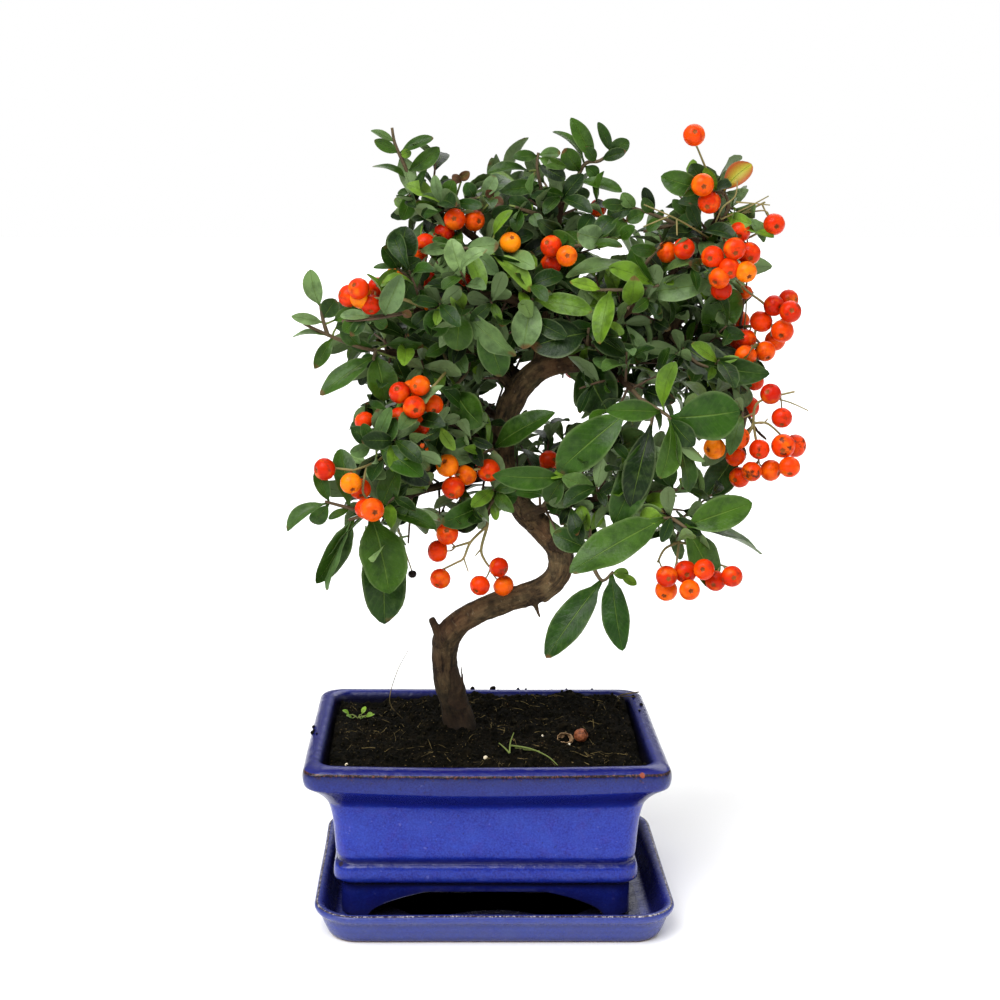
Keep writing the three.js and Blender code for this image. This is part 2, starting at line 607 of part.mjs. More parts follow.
    leaves: [
      [44, 316, 34, 331, 7, -3], [50, 319, 45, 329.5, 4.5, -2], [49, 317, 58.5, 323, 7, -3],
      [47, 315, 57, 318.5, 5, -6], [38, 310, 32, 319, 8, -4],
      [39, 315, 28, 327.5, 2, 0], [38, 306, 56.5, 303.5, 5, -6],
      [36, 305, 38.5, 297.5, 10, -3],
    ],
  },
  {
    name: 'leaf_spray_crown_middle',
    twigs: [[[28.3, 280, 5], [36, 280, -14], [42, 281, -20], [52, 284, -16]]],
    leaves: [
      [39, 282, 25, 283, 9, -6], [50, 280, 38, 284.5, 10, -8], [42, 279.5, 57, 281, 3, -4],
      [44, 284, 52, 292, 8, -2], [38, 284, 44, 293, 8, 2], [32, 284, 22, 291, 7, -4],
      [52, 283, 58, 291, 7, 0], [55, 283, 62, 288, 6, -3],
    ],
  },
  {
    name: 'leaf_spray_crown_right',
    twigs: [
      [[90, 280, -5.6], [78, 289, -12], [70, 292.5, -14], [60, 296, -16]],
      [[82, 286, -10], [86, 294, -9]],
      [[78, 289, -12], [65, 286, -10]],
    ],
    leaves: [
      [71, 297, 64, 304, 5, -2],
      [86, 296, 77, 299, 5, -2], [80, 292, 88, 292, 6, -4], [62, 297, 56, 302, 6, -3],
      [58, 297, 48, 298, 5, -4], [66, 294, 58, 290, 6, -2], [72, 292, 66, 286, 5, -2],
      [60, 296, 50, 292, 8, 2],
    ],
  },
  {
    name: 'leaf_spray_top_right',
    twigs: [
      [[93, 286.5, -7], [97, 290, -18], [100, 296, -21], [98, 302, -21]],
      [[98, 302, -21], [89, 303, -21]],
    ],
    leaves: [
      [97, 303, 109, 313, 9, -3], [88, 301, 72.5, 308.5, 10, -4], [89, 305, 84, 313.5, 8, 0],
      [98, 289, 118, 283, 6, -6],
      [100, 292, 110, 289, 6, 0],
    ],
  },
  {
    name: 'leaf_spray_right_upper',
    twigs: [
      [[66, 258.3, -8.5], [64, 262, -18], [58, 262, -22], [46, 262, -20]],
      [[64, 262, -18], [72, 264, -21]],
      [[64, 262, -18], [66, 272, -20], [72, 280, -20]],
      [[64, 262, -18], [59, 254, -20]],
    ],
    leaves: [
      [72, 263, 50, 270, 8, -4], [72, 263, 61, 279, 9, -2], [64, 271, 33, 266, 6, -6],
      [66, 260, 93, 264, 11, -6], [58, 252, 62, 268, 9, -10], [52, 262, 48, 239, 9, -12],
      [46, 262, 35, 266, 4, -4], [73, 281, 60, 279, 6, -4],
    ],
  },
  {
    name: 'leaf_spray_center_upper',
    twigs: [[[24.5, 257, 8], [22, 259, -8], [19, 258, -18]]],
    leaves: [
      [20, 257, 45, 254, 8, -10], [15, 257, 17, 238, 12, -8], [18, 260, 28, 268, 7, -2],
    ],
  },
  {
    name: 'leaf_spray_center_front',
    twigs: [[[40, 231.5, 4], [42, 236, -10], [43, 246, -20]]],
    leaves: [
      [43, 248, 19, 238, 17, -6], [40, 234, 53, 212, 21, -12], [45, 244, 60, 236, 9, -6],
      [46, 237, 68, 233, 9, -4],
    ],
  },
  {
    name: 'leaf_spray_right_middle',
    twigs: [
      [[62, 220, -22], [66, 216, -28], [76, 210, -40], [78, 208, -44]],
      [[66, 216, -28], [60, 211, -30]],
      [[71, 213, -34], [70, 205, -34]],
    ],
    leaves: [
      [74, 210, 51, 211, 9, -8], [76, 212, 78, 232, 4.5, -6], [79, 209.5, 108, 213, 20, -2],
      [77, 207, 76, 183, 10, -6], [78, 206, 85, 175, 9, 0], [70, 203, 52, 164, 15, -4],
      [74, 206, 61, 170, 9, 6], [79, 206, 94, 190, 6, 2], [61, 210, 31, 184, 17, 4],
      [78, 207, 88, 196, 10, 6],
    ],
  },
  {
    name: 'leaf_spray_right_low_end',
    twigs: [
      [[78, 164, -32], [80, 165, -40], [86, 161, -44]],
      [[80, 165, -40], [76, 165.5, -41]],
    ],
    leaves: [
      [86, 160, 115, 171, 14, -4], [85, 159, 97, 134, 15, 4], [75, 164, 38, 140, 16, -8],
      [77, 167, 66, 166, 9, 4], [87, 161, 119, 153, 6, 8],
    ],
  },
  {
    name: 'leaf_spray_right_low_side',
    twigs: [[[71, 176, -28], [76, 177, -31], [81, 178, -31]]],
    leaves: [[80, 176, 76, 190, 7, 2], [81, 178, 71, 186, 6, 4]],
  },
  {
    name: 'leaf_spray_right_low_hanging',
    twigs: [
      [[45, 148, -22], [48, 141, -26], [51, 138, -28], [55, 142, -30]],
      [[47, 143.3, -25], [45, 153, -26], [45, 161, -26]],
    ],
    leaves: [
      [49, 137, 28, 103, 13, -4], [55, 142, 58, 107, 12, -6],
      [45, 151, 29, 158.5, 10, 2], [44, 160, 40, 170, 6, 2],
      [46, 160, 50, 169, 5, 0],
    ],
  },
  {
    name: 'leaf_spray_right_low_middle',
    twigs: [
      [[24, 169.5, -6], [30, 178, -20], [34, 184, -26]],
      [[30, 178, -20], [42, 177, -16]],
    ],
    leaves: [
      [33, 184, 2, 184, 11, -8], [46, 184, 32, 178, 9, -2], [33, 183, 27, 172, 9, 2],
      [28, 174, 36, 170, 6, -6], [42, 177, 38, 181, 7, 0],
    ],
  },
  {
    name: 'leaf_spray_right_dark',
    twigs: [[[77, 243, 2], [80, 240, -9], [88, 232, -17], [96, 229, -21], [104, 224, -23]]],
    leaves: [
      [88, 232, 119, 229, 11, -6], [79, 240, 103, 222, 14, -8], [104, 224, 111, 213, 8, 2],
    ],
  },
  {
    name: 'leaf_spray_right_edge',
    twigs: [[[90, 241.5, -2], [91, 243, -9], [94, 244, -12]]],
    leaves: [[90, 243, 104, 262, 15, -6], [95, 243, 108, 242, 6, 2]],
  },
  {
    name: 'leaf_spray_far_right_low',
    twigs: [[[110, 211, -20], [108, 200, -10], [106, 193, -8]]],
    leaves: [[105, 193, 93, 175.5, 14, -6], [106, 196, 96, 190, 8, 4]],
  },
];

// Sprays at the back, one at the end of each limb that reaches there.
const REAR_SPRAYS = [
  { name: 'leaf_spray_rear_left_high', end: [-18, 254, 48], from: [-4, 244, 36] },
  { name: 'leaf_spray_rear_right_high', end: [58, 262, 54], from: [48, 250, 40] },
  { name: 'leaf_spray_rear_crown', end: [14, 290, 36], from: [20, 278, 24] },
  { name: 'leaf_spray_rear_right', end: [84, 224, 40], from: [74, 232, 24] },
  { name: 'leaf_spray_rear_left', end: [-28, 214, 48], from: [-14, 216, 36] },
  { name: 'leaf_spray_rear_low', end: [44, 190, 46], from: [32, 190, 34] },
  { name: 'leaf_spray_rear_right_edge', end: [90, 260, 38], from: [82, 250, 22] },
  { name: 'leaf_spray_rear_left_edge', end: [-38, 242, 34], from: [-22, 242, 22] },
];
const REAR_TWIG = 17;
const REAR_LEAVES = 7;
const REAR_LEAF_LENGTH = 24;
const GOLDEN_TURN = 2.39996;

// Bunches at the back, hung from two of those limbs.
const REAR_BUNCHES = [
  { name: 'berries_rear_right', from: [48, 250, 40], count: 5 },
  { name: 'berries_rear_left', from: [-14, 216, 36], count: 5 },
];

// Everything that later pieces must stay clear of.
const taken = [];

function keep(name, part) {
  const { min, max } = part.boundingBox();
  taken.push({ name, part, min, max });
}

function crosses(name, part) {
  const { min, max } = part.boundingBox();
  return taken.some((other) => {
    const near = [0, 1, 2].every((k) => min[k] < other.max[k] && max[k] > other.min[k]);
    return near && other.name !== name && part.intersect(other.part).volume() > CROSSING;
  });
}

// The nearest place on a set of paths to a point as it shows from the front. The first
// stretch of the first path lies in the wood, and the very end of a path holds no root.
function nearestOn(paths, [x, z]) {
  const steps = 12;
  let best = null;
  paths.forEach((path, which) => {
    for (let i = 1; i < path.length; i += 1) {
      const first = which === 0 && i === 1 ? 7 : 0;
      const last = i === path.length - 1 ? steps - 2 : steps;
      for (let k = first; k <= last; k += 1) {
        const point = path[i - 1].map((value, axis) => value + (path[i][axis] - value) * k / steps);
        const distance = Math.hypot(point[0] - x, point[1] - z);
        if (best === null || distance < best.distance) {
          best = { point, distance };
        }
      }
    }
  });
  return best.point;
}

function twigTubes(paths, radius, tipRadius) {
  return join(paths.map((path) => {
    const radii = path.map((point, i) => radius + (tipRadius - radius) * i / (path.length - 1));
    return tube(path.map(seen), radii, TWIG_SIDES);
  }));
}

// A berry and its stalk in one skin. The stalk has three sides and leaves the berry's top.
function berry(root, center, grow) {
  const down = center.clone().sub(root).normalize();
  const radius = BERRY_RADIUS + grow;
  const stalk = STALK_RADIUS + grow;
  const path = [
    [root, 0, stalk], [center, -BERRY_FLATNESS, stalk],
    [center, -BERRY_SHOULDER, radius * BERRY_GIRTH], [center, BERRY_SHOULDER, radius * BERRY_GIRTH],
  ];
  let across = new THREE.Vector3(1, 0.2, 0.1);
  across = across.addScaledVector(down, -across.dot(down)).normalize();
  const third = down.clone().cross(across);
  const rings = path.map(([from, step, reach], k) => {
    const middle = from.clone().addScaledVector(down, step * radius);
    const turns = k < 2 ? [0, 0, 1.7, 1.7, 3.3] : [0, 1, 2, 3, 4];
    return turns.map((turn) => {
      const angle = (turn + (k === 3 ? 0.5 : 0)) / 5 * Math.PI * 2;
      const spoke = across.clone().multiplyScalar(Math.cos(angle) * reach);
      return middle.clone().add(spoke.addScaledVector(third, Math.sin(angle) * reach));
    });
  });
  const pole = center.clone().addScaledVector(down, radius * BERRY_FLATNESS);
  rings.push(rings[0].map(() => pole));
  return skin(rings);
}

// One berry on its stalk. It is moved along the line of sight until it crosses nothing,
// and is left out if there is no room for it.
function hangBerry(name, root, centerAt, others) {
  for (const shift of [-2, 2, -5, 5, -8, 8, -11, 11, -15, 15, -20, 20]) {
    const center = centerAt(shift);
    const apart = others.every((other) => other.distanceTo(center) > BERRY_RADIUS * 1.9);
    if (apart && !crosses(name, berry(root, center, CLEAR))) {
      others.push(center);
      return berry(root, center, 0);
    }
  }
  return null;
}

// How far along a blade its stations are, and how much of its width each side has there.
const BLADE_OUTLINES = [
  { upTo: SMALL_BLADE, stations: [[0.58, 0.5]] },
  { upTo: LARGE_BLADE, stations: [[0.34, 0.45], [0.78, 0.43]] },
  { upTo: Infinity, stations: [[0.2, 0.3], [0.52, 0.5], [0.86, 0.38]] },
];

// A blade is flat above and has its rib as a keel below, thick enough to hold it. It is
// arched along the rib and comes to a point at its tip.
function blade({ root, base, tip, normal, width, grow = 0 }) {
  const along = tip.clone().sub(base);
  const length = along.length();
  along.normalize();
  const across = along.clone().cross(normal).normalize();
  const upward = across.clone().cross(along);
  const outline = BLADE_OUTLINES.find(({ upTo }) => length < upTo);
  const ring = (middle, reach, keel) => [[-1, grow], [1, grow], [0, -keel - grow]].map(
    ([side, lift]) => middle.clone().addScaledVector(across, side * reach)
      .addScaledVector(upward, lift),
  );
  const top = root.clone().addScaledVector(upward, ROOT_HALF + grow);
  const rings = [[top, top, root.clone().addScaledVector(upward, -ROOT_HALF - grow)]];
  if (root.distanceTo(base) > NECK_FROM) {
    rings.push(ring(base, NECK_HALF + grow, NECK_THICK));
  }
  for (const [place, share] of outline.stations) {
    const middle = base.clone().addScaledVector(along, place * length);
    middle.addScaledVector(upward, length * BLADE_ARCH * place * (1 - place));
    rings.push(ring(middle, share * width + grow, RIB_THICK));
  }
  const end = tip.clone().addScaledVector(along, grow);
  rings.push([end, end, end]);
  return skin(rings);
}

// A leaf that shows narrower than leaves are is turned about its rib, its face upwards.
function frontNormal(base, tip, width, trueWidth, roll) {
  const along = tip.clone().sub(base).normalize();
  const toEye = EYE.clone().sub(base);
  toEye.addScaledVector(along, -toEye.dot(along)).normalize();
  const turn = Math.acos(Math.min(1, width / trueWidth));
  const turned = [turn, -turn].map((angle) => toEye.clone().applyAxisAngle(along, angle));
  const normal = turned[0].z >= turned[1].z ? turned[0] : turned[1];
  return normal.applyAxisAngle(along, roll);
}

const LEAF_TRIALS = [];
for (const share of [1, 0.85, 0.7]) {
  for (const shift of [0, -4, 4, -8, 8, -13, 13]) {
    for (const roll of [0, 0.45, -0.45]) {
      LEAF_TRIALS.push({ share, shift, roll });
    }
  }
}

// A leaf takes the first of the trial places where it crosses no other node, and is left
// out if there is none. It also keeps off its own spray's leaves, where a place allows that.
function placeLeaf(name, grownWood, own, leafAt) {
  for (const apart of [true, false]) {
    for (const trial of LEAF_TRIALS) {
      const leaf = leafAt(trial);
      const room = blade({ ...leaf, grow: CLEAR });
      const outer = leaf.base.clone().lerp(leaf.tip, 0.3);
      const tail = blade({ ...leaf, root: outer, base: outer, grow: GAP });
      const meets = apart && own.some((other) => (
        tail.intersect(other.whole).volume() + room.intersect(other.tail).volume() > CROSSING
      ));
      const inWood = room.intersect(grownWood).volume() > BLADE_IN_WOOD * room.volume();
      if (!meets && !inWood && !crosses(name, room)) {
        const whole = blade(leaf);
        own.push({ whole, tail });
        return whole;
      }
    }
  }
  return null;
}

// A leaf that starts well off its twig has a thin neck there, unless the neck would turn back.
function frontLeaf(twigs, [x0, z0, x1, z1, width, nearer], { share, shift, roll }) {
  const rootPoint = nearestOn(twigs, [x0, z0]);
  const root = seen(rootPoint);
  const fullTip = seen([x1, z1, rootPoint[2] + nearer + shift]);
  const neck = seen([x0, z0, rootPoint[2]]);
  const reach = neck.distanceTo(root);
  const onwards = neck.clone().sub(root).dot(fullTip.clone().sub(neck).normalize());
  const base = reach > NECK_FROM && onwards > reach / 2 ? neck : root;
  const tip = base.clone().lerp(fullTip, share);
  const trueWidth = Math.max(width, SLIMMEST_BLADE * tip.distanceTo(base));
  const normal = frontNormal(base, tip, width, trueWidth, roll);
  return { root, base, tip, normal, width: trueWidth };
}

function rearTwigs({ end, from }) {
  const heading = end.map((value, axis) => value - from[axis]);
  const length = Math.hypot(...heading);
  const step = heading.map((value) => value / length * REAR_TWIG);
  const along = (share, rise) => [
    end[0] + step[0] * share, end[1] + step[1] * share + rise, end[2] + step[2] * share,
  ];
  return [[end, along(1, 2)]];
}

// Leaves stand round the twigs in a spiral, each leaning towards its twig's end.
function rearLeaf(twigs, index, { share, shift, roll }) {
  const [first, last] = twigs[0].map(seen);
  const root = first.clone().lerp(last, 0.25 + 0.68 * index / (REAR_LEAVES - 1));
  const along = last.clone().sub(first).normalize();
  const outward = new THREE.Vector3(0, 0, 1).cross(along).normalize();
  outward.applyAxisAngle(along, index * GOLDEN_TURN + shift * 0.12);
  const heading = along.clone().multiplyScalar(0.75).add(outward).normalize();
  const length = REAR_LEAF_LENGTH * (0.85 + 0.3 * ((index * 7) % 5) / 4) * share;
  const tip = root.clone().addScaledVector(heading, length);
  const normal = heading.clone().cross(outward.clone().cross(along)).normalize();
  if (normal.z < 0) {
    normal.negate();
  }
  normal.applyAxisAngle(heading, roll);
  return { root, base: root, tip, normal, width: 0.42 * length };
}

const group = new THREE.Group();

function addNode(name, part, look) {
  const mesh = part.getMesh();
  const geometry = new THREE.BufferGeometry();
  geometry.setAttribute('position', new THREE.BufferAttribute(mesh.vertProperties, 3));
  geometry.setIndex(new THREE.BufferAttribute(mesh.triVerts, 1));
  const node = new THREE.Mesh(geometry, new THREE.MeshStandardMaterial(look));
  node.name = name;
  group.add(node);
}

const wood = largest(makeWood(0));
const grownWood = makeWood(CLEAR);
const trunkHole = woodTube(TRUNK.slice(0, 6), 8, CLEAR);

addNode('drip_tray', makeTray(), GLAZE);
addNode('pot', makePot(), GLAZE);
addNode('soil', makeSoil(trunkHole), EARTH);
addNode('drain_mesh_left', makeDrainMesh(-DRAIN_X), PLASTIC);
addNode('drain_mesh_right', makeDrainMesh(DRAIN_X), PLASTIC);
addNode('trunk_and_branches', wood, BARK);
keep('trunk_and_branches', wood);

// The stems of all bunches and the twigs of all sprays come before any berry or leaf.
const rearSprays = REAR_SPRAYS.map((spray) => ({ ...spray, twigs: rearTwigs(spray) }));
const rearBunches = REAR_BUNCHES.map(({ name, from: [x, z, y], count }) => {
  const low = [x + 1, z - 12, y + 2];
  return { name, count, stems: [[[x, z, y], low, [x + 4, z - 20, y + 3]], [low, [x - 7, z - 19, y + 1]]] };
});

const stemsOf = new Map();
for (const { name, stems } of [...BUNCHES, ...rearBunches]) {
  stemsOf.set(name, twigTubes(stems, STEM_RADIUS + 0.1, STEM_RADIUS).subtract(grownWood));
}
for (const { name, twigs } of [...SPRAYS, ...rearSprays]) {
  stemsOf.set(name, twigTubes(twigs, TWIG_RADIUS, TWIG_TIP_RADIUS).subtract(grownWood));
}
for (const [name, part] of stemsOf) {
  keep(name, part);
}

function finish(name, parts, look) {
  const whole = largest(join([stemsOf.get(name), ...parts]).subtract(grownWood));
  addNode(name, whole, look);
  keep(name, whole);
}

for (const { name, stems, berries } of BUNCHES) {
  const centers = [];
  const hung = berries.map(([x, z]) => {
    const near = nearestOn(stems, [x, z + BERRY_RADIUS]);
    return hangBerry(name, seen(near), (shift) => seen([x, z, near[2] + shift]), centers);
  });
  finish(name, hung.filter(Boolean), BERRY);
}

for (const { name, stems, count } of rearBunches) {
  const centers = [];
  const hung = [];
  for (let i = 0; i < count; i += 1) {
    const stem = stems[i % 2];
    const near = stem[stem.length - 1];
    const angle = i * GOLDEN_TURN;
    const reach = 5 + 1.1 * i;
    const x = near[0] + Math.cos(angle) * reach * 0.9;
    const z = near[1] - 5 + Math.sin(angle) * reach * 0.7;
    const at = (shift) => seen([x, z, near[2] + shift * 0.6 + Math.sin(angle * 2) * 4]);
    hung.push(hangBerry(name, seen(near), at, centers));
  }
  finish(name, hung.filter(Boolean), BERRY);
}

for (const { name, twigs, leaves } of SPRAYS) {
  const own = [];
  const blades = leaves.map((leaf) => (
    placeLeaf(name, grownWood, own, (trial) => frontLeaf(twigs, leaf, trial))
  ));
  finish(name, blades.filter(Boolean), LEAF);
}

for (const { name, twigs } of rearSprays) {
  const own = [];
  const blades = [];
  for (let i = 0; i < REAR_LEAVES; i += 1) {
    blades.push(placeLeaf(name, grownWood, own, (trial) => rearLeaf(twigs, i, trial)));
  }
  finish(name, blades.filter(Boolean), LEAF);
}

export default group;
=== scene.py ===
import json
import math
import random

import bmesh
import bpy
from mathutils import Matrix, Vector, noise
from mathutils.bvhtree import BVHTree
from mathutils.kdtree import KDTree

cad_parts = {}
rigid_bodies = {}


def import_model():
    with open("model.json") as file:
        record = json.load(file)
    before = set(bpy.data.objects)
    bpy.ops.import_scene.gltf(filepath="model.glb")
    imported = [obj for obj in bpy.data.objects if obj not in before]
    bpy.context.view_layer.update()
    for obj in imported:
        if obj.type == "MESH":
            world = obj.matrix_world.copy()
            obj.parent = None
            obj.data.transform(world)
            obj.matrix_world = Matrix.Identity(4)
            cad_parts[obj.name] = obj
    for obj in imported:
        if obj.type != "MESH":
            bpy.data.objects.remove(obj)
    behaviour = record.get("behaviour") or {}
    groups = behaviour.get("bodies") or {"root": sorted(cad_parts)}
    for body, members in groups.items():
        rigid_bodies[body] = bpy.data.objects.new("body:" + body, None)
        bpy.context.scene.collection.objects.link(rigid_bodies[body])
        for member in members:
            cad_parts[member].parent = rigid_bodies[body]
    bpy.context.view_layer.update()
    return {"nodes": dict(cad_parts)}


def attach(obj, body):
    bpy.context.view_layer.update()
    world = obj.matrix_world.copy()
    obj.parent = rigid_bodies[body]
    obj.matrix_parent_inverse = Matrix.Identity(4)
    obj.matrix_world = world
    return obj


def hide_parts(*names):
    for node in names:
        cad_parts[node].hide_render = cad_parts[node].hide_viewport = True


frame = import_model()
MM = 0.001


# The drip tray.
# A shallow stoneware dish with a rounded rim. It is pressed in a mould, dipped in cobalt
# glaze and fired. The glaze ran thin over the edges, and stands thick and dark in the
# corners and grooves. The dark glaze and the stains also paint shade in its corners and
# under its lip, and the pot's shadow on its floor.

def paint(red, green, blue):
    """A colour as it is named for a screen, made linear for a shader."""
    channels = [value / 255 for value in (red, green, blue)]
    linear = [c / 12.92 if c <= 0.04045 else ((c + 0.055) / 1.055) ** 2.4 for c in channels]
    return (*linear, 1.0)


class NodeWork:
    """Puts nodes into a tree. An input takes a plain value or another node's output."""

    def __init__(self, tree):
        self.tree = tree

    def put(self, kind, inputs=None, **settings):
        """A new node of this kind, with its inputs and settings."""
        node = self.tree.nodes.new(kind)
        for key, value in settings.items():
            setattr(node, key, value)
        for socket, value in (inputs or {}).items():
            if isinstance(value, bpy.types.NodeSocket):
                self.tree.links.new(value, node.inputs[socket])
            else:
                node.inputs[socket].default_value = value
        return node


class Finish(NodeWork):
    """A finish in the making, with its colour so far. It is laid out on the piece's own
    coordinates, and sizes are in millimetres."""

    def __init__(self, name, shade, **shader_values):
        self.material = bpy.data.materials.new(name)
        self.material.use_nodes = True
        super().__init__(self.material.node_tree)
        self.shader = self.tree.nodes["Principled BSDF"]
        self.place = self.put("ShaderNodeTexCoord").outputs["Object"]
        self.color = paint(*shade)
        for socket, value in shader_values.items():
            self.shader.inputs[socket.replace("_", " ")].default_value = value

    def cloud(self, size, detail=2.0, rough=0.5, on=None):
        """Soft patches about this size across, from 0 to 1."""
        values = {"Vector": on or self.place, "Scale": 1 / (size * MM), "Detail": detail,
                  "Roughness": rough}
        return self.put("ShaderNodeTexNoise", values).outputs[0]

    def rise(self, value, low, high):
        """0 up to low, 1 from high on, and between them in between."""
        values = {"Value": value, "From Min": low, "From Max": high}
        return self.put("ShaderNodeMapRange", values).outputs["Result"]

    def fall(self, value, low, high):
        """1 up to low, 0 from high on, and between them in between."""
        return self.sum("SUBTRACT", 1.0, self.rise(value, low, high))

    def patches(self, size, low, high, detail=2.0, rough=0.5):
        """A cloud cut into patches. The nearer low and high are, the sharper their edges."""
        return self.rise(self.cloud(size, detail, rough), low, high)

    def sum(self, operation, first, second=0.0):
        """One value worked out from two, by the operation of this name."""
        return self.put("ShaderNodeMath", {0: first, 1: second}, operation=operation).outputs[0]

    def scaled(self, value, factor, offset):
        """The value times the factor, plus the offset."""
        return self.put("ShaderNodeMath", {0: value, 1: factor, 2: offset},
                        operation="MULTIPLY_ADD").outputs[0]

    def over(self, amount, under, above):
        """The colour above laid over the one under it, by amount."""
        values = {0: amount, 6: under, 7: above}
        return self.put("ShaderNodeMix", values, data_type="RGBA").outputs[2]

    def painted(self, name, output="Fac"):
        """What the piece has painted on its points under this name."""
        return self.put("ShaderNodeAttribute", attribute_name=name).outputs[output]

    def spot(self, centre, radius):
        """1 inside a ragged spot and 0 outside it."""
        point = [value * MM for value in centre]
        away = self.put("ShaderNodeVectorMath", {0: self.place, 1: point}, operation="DISTANCE")
        ragged = self.scaled(self.cloud(1.2, 3), 1.1 * radius * MM, 0.45 * radius * MM)
        return self.rise(self.sum("SUBTRACT", ragged, away.outputs["Value"]), 0.0, 0.15 * MM)

    def wash(self, where, shade, share=None):
        """Lays a shade over the colour so far, where this is 1, or only by a share there."""
        if share is not None:
            where = self.sum("MULTIPLY", where, share)
        above = shade if isinstance(shade, bpy.types.NodeSocket) else paint(*shade)
        self.color = self.over(where, self.color, above)

    def dapple(self, shade, share, *patches):
        """Lays a share of a shade over the colour so far, in patches."""
        self.wash(self.patches(*patches), shade, share)

    def set(self, roughness=None, height=None, depth=0.0):
        """Gives the shader its colour, roughness and bumps this deep."""
        self.tree.links.new(self.color, self.shader.inputs["Base Color"])
        if roughness is not None:
            self.tree.links.new(roughness, self.shader.inputs["Roughness"])
        if height is not None:
            bump = self.put("ShaderNodeBump", {"Height": height, "Distance": depth * MM})
            self.tree.links.new(bump.outputs["Normal"], self.shader.inputs["Normal"])
        return self.material


def cobalt_glaze(name, chips, edge_shades, dusty=0.0):
    """Speckled cobalt glaze over a red-brown body. chips are small marks of another shade,
    edge_shades are the dark and the pale of the edges where the glaze ran thin, a near-white
    pale being a painted highlight, and dusty is how far the glaze is dulled by lime from the watering."""
    glaze = Finish(name, (14, 26, 124), IOR=1.5, Specular_IOR_Level=0.27, Coat_Weight=0.1,
                   Coat_Roughness=0.05)
    speckle = glaze.patches(0.8, 0.36, 0.68, 4, 0.7)
    glaze.wash(speckle, (34, 58, 170))
    glaze.dapple((44, 74, 176), 0.3, 11, 0.42, 0.72, 4, 0.6)
    glaze.dapple((60, 38, 134), 0.16, 6, 0.52, 0.7, 3)
    glaze.dapple((22, 18, 78), 0.6, 1.7, 0.71, 0.75, 2, 0.4)
    glaze.dapple((106, 112, 186), 0.3, 2.3, 0.75, 0.78, 2, 0.3)
    glaze.wash(glaze.scaled(glaze.cloud(9, 4), dusty, dusty * 0.5), (84, 92, 130))
    thin = glaze.painted("thin")
    glaze.wash(thin, (20, 25, 56), 0.95)
    # Dark blue where the glaze pools thick. This also paints the shade in grooves, under the lips, on
    # the skirt and on the inner walls.
    glaze.wash(glaze.painted("pooled_glaze_and_painted_shade"), (12, 13, 82), 0.9)
    broken = glaze.rise(glaze.sum("MULTIPLY", thin, glaze.cloud(3.5, 5, 0.75)), 0.32, 0.42)
    dark, pale = (paint(*shade) for shade in edge_shades)
    glaze.wash(broken, glaze.over(glaze.patches(0.9, 0.5, 0.66, 4, 0.7), dark, pale))
    # Near black where there are stains. This also paints shade: the pot's shadow on the tray's floor,
    # and the shaded skirt, feet and inner walls.
    glaze.wash(glaze.painted("stains_and_painted_shade"), (12, 10, 16))
    for centre, radius, shade in chips:
        glaze.wash(glaze.spot(centre, radius), shade)
    bare = glaze.rise(glaze.painted("bare"), 0.4, 0.6)
    glaze.wash(bare, glaze.over(glaze.cloud(1.5, 4), paint(84, 50, 36), paint(128, 80, 56)))
    roughness = glaze.scaled(glaze.cloud(5, 3), 0.16, 0.1 + 0.2 * dusty)
    roughness = glaze.sum("MAXIMUM", roughness, glaze.sum("MULTIPLY", bare, 0.8))
    skin = glaze.sum("ADD", glaze.cloud(6, 3), glaze.sum("MULTIPLY", speckle, 0.06))
    return glaze.set(roughness, skin, 0.6)


def softened(points, rounds=2):
    """A profile with its corners cut, as a glaze rounds them. Its ends stay."""
    for _ in range(rounds):
        cut = [points[0]]
        for one, other in zip(points, points[1:]):
            for share in (0.25, 0.75):
                cut.append(tuple(a + (b - a) * share for a, b in zip(one, other)))
        points = cut + [points[-1]]
    return points


def rounded_outline(half_x, half_y, corner, along_x=66, along_y=48, round_steps=8):
    """A rounded rectangle's points as seen from above, as many whatever its size."""
    rounds = []
    for number, (side_x, side_y) in enumerate(((1, 1), (-1, 1), (-1, -1), (1, -1))):
        middle = Vector((side_x * (half_x - corner), side_y * (half_y - corner)))
        angles = [(number + k / round_steps) * math.pi / 2 for k in range(round_steps + 1)]
        rounds.append([middle + Vector((math.cos(a), math.sin(a))) * corner for a in angles])
    outline = []
    for number, arc in enumerate(rounds):
        outline += arc
        steps = along_x if number % 2 == 0 else along_y
        start, end = arc[-1], rounds[(number + 1) % 4][0]
        outline += [start.lerp(end, k / steps) for k in range(1, steps)]
    return outline


def waver(point, size=45.0, amount=0.35):
    """A hand-finished wall isn't quite true: each axis strays with a noise of its own."""
    shift = [noise.noise(point / size + Vector((0, 0, 7.3 * axis))) for axis in range(3)]
    return point + Vector(shift) * amount


def new_piece(name, mesh, smooth=True):
    """A piece of the scene that shows this mesh."""
    piece = bpy.data.objects.new(name, mesh)
    bpy.context.scene.collection.objects.link(piece)
    if smooth:
        mesh.polygons.foreach_set("use_smooth", [True] * len(mesh.polygons))
    return piece


def mesh_from(bm, name):
    """The mesh that was built up in bm."""
    mesh = bpy.data.meshes.new(name)
    bm.to_mesh(mesh)
    bm.free()
    return mesh


def band(bm, low, high):
    """Faces all round between two rings of points."""
    for k in range(len(low)):
        j = (k + 1) % len(low)
        bm.faces.new((low[k], low[j], high[j], high[k]))


def make_plain(piece):
    """Leaves a piece as the plain mesh that its modifiers make of it."""
    depsgraph = bpy.context.evaluated_depsgraph_get()
    mesh = bpy.data.meshes.new_from_object(
        piece.evaluated_get(depsgraph), preserve_all_data_layers=True, depsgraph=depsgraph)
    piece.modifiers.clear()
    piece.data = mesh


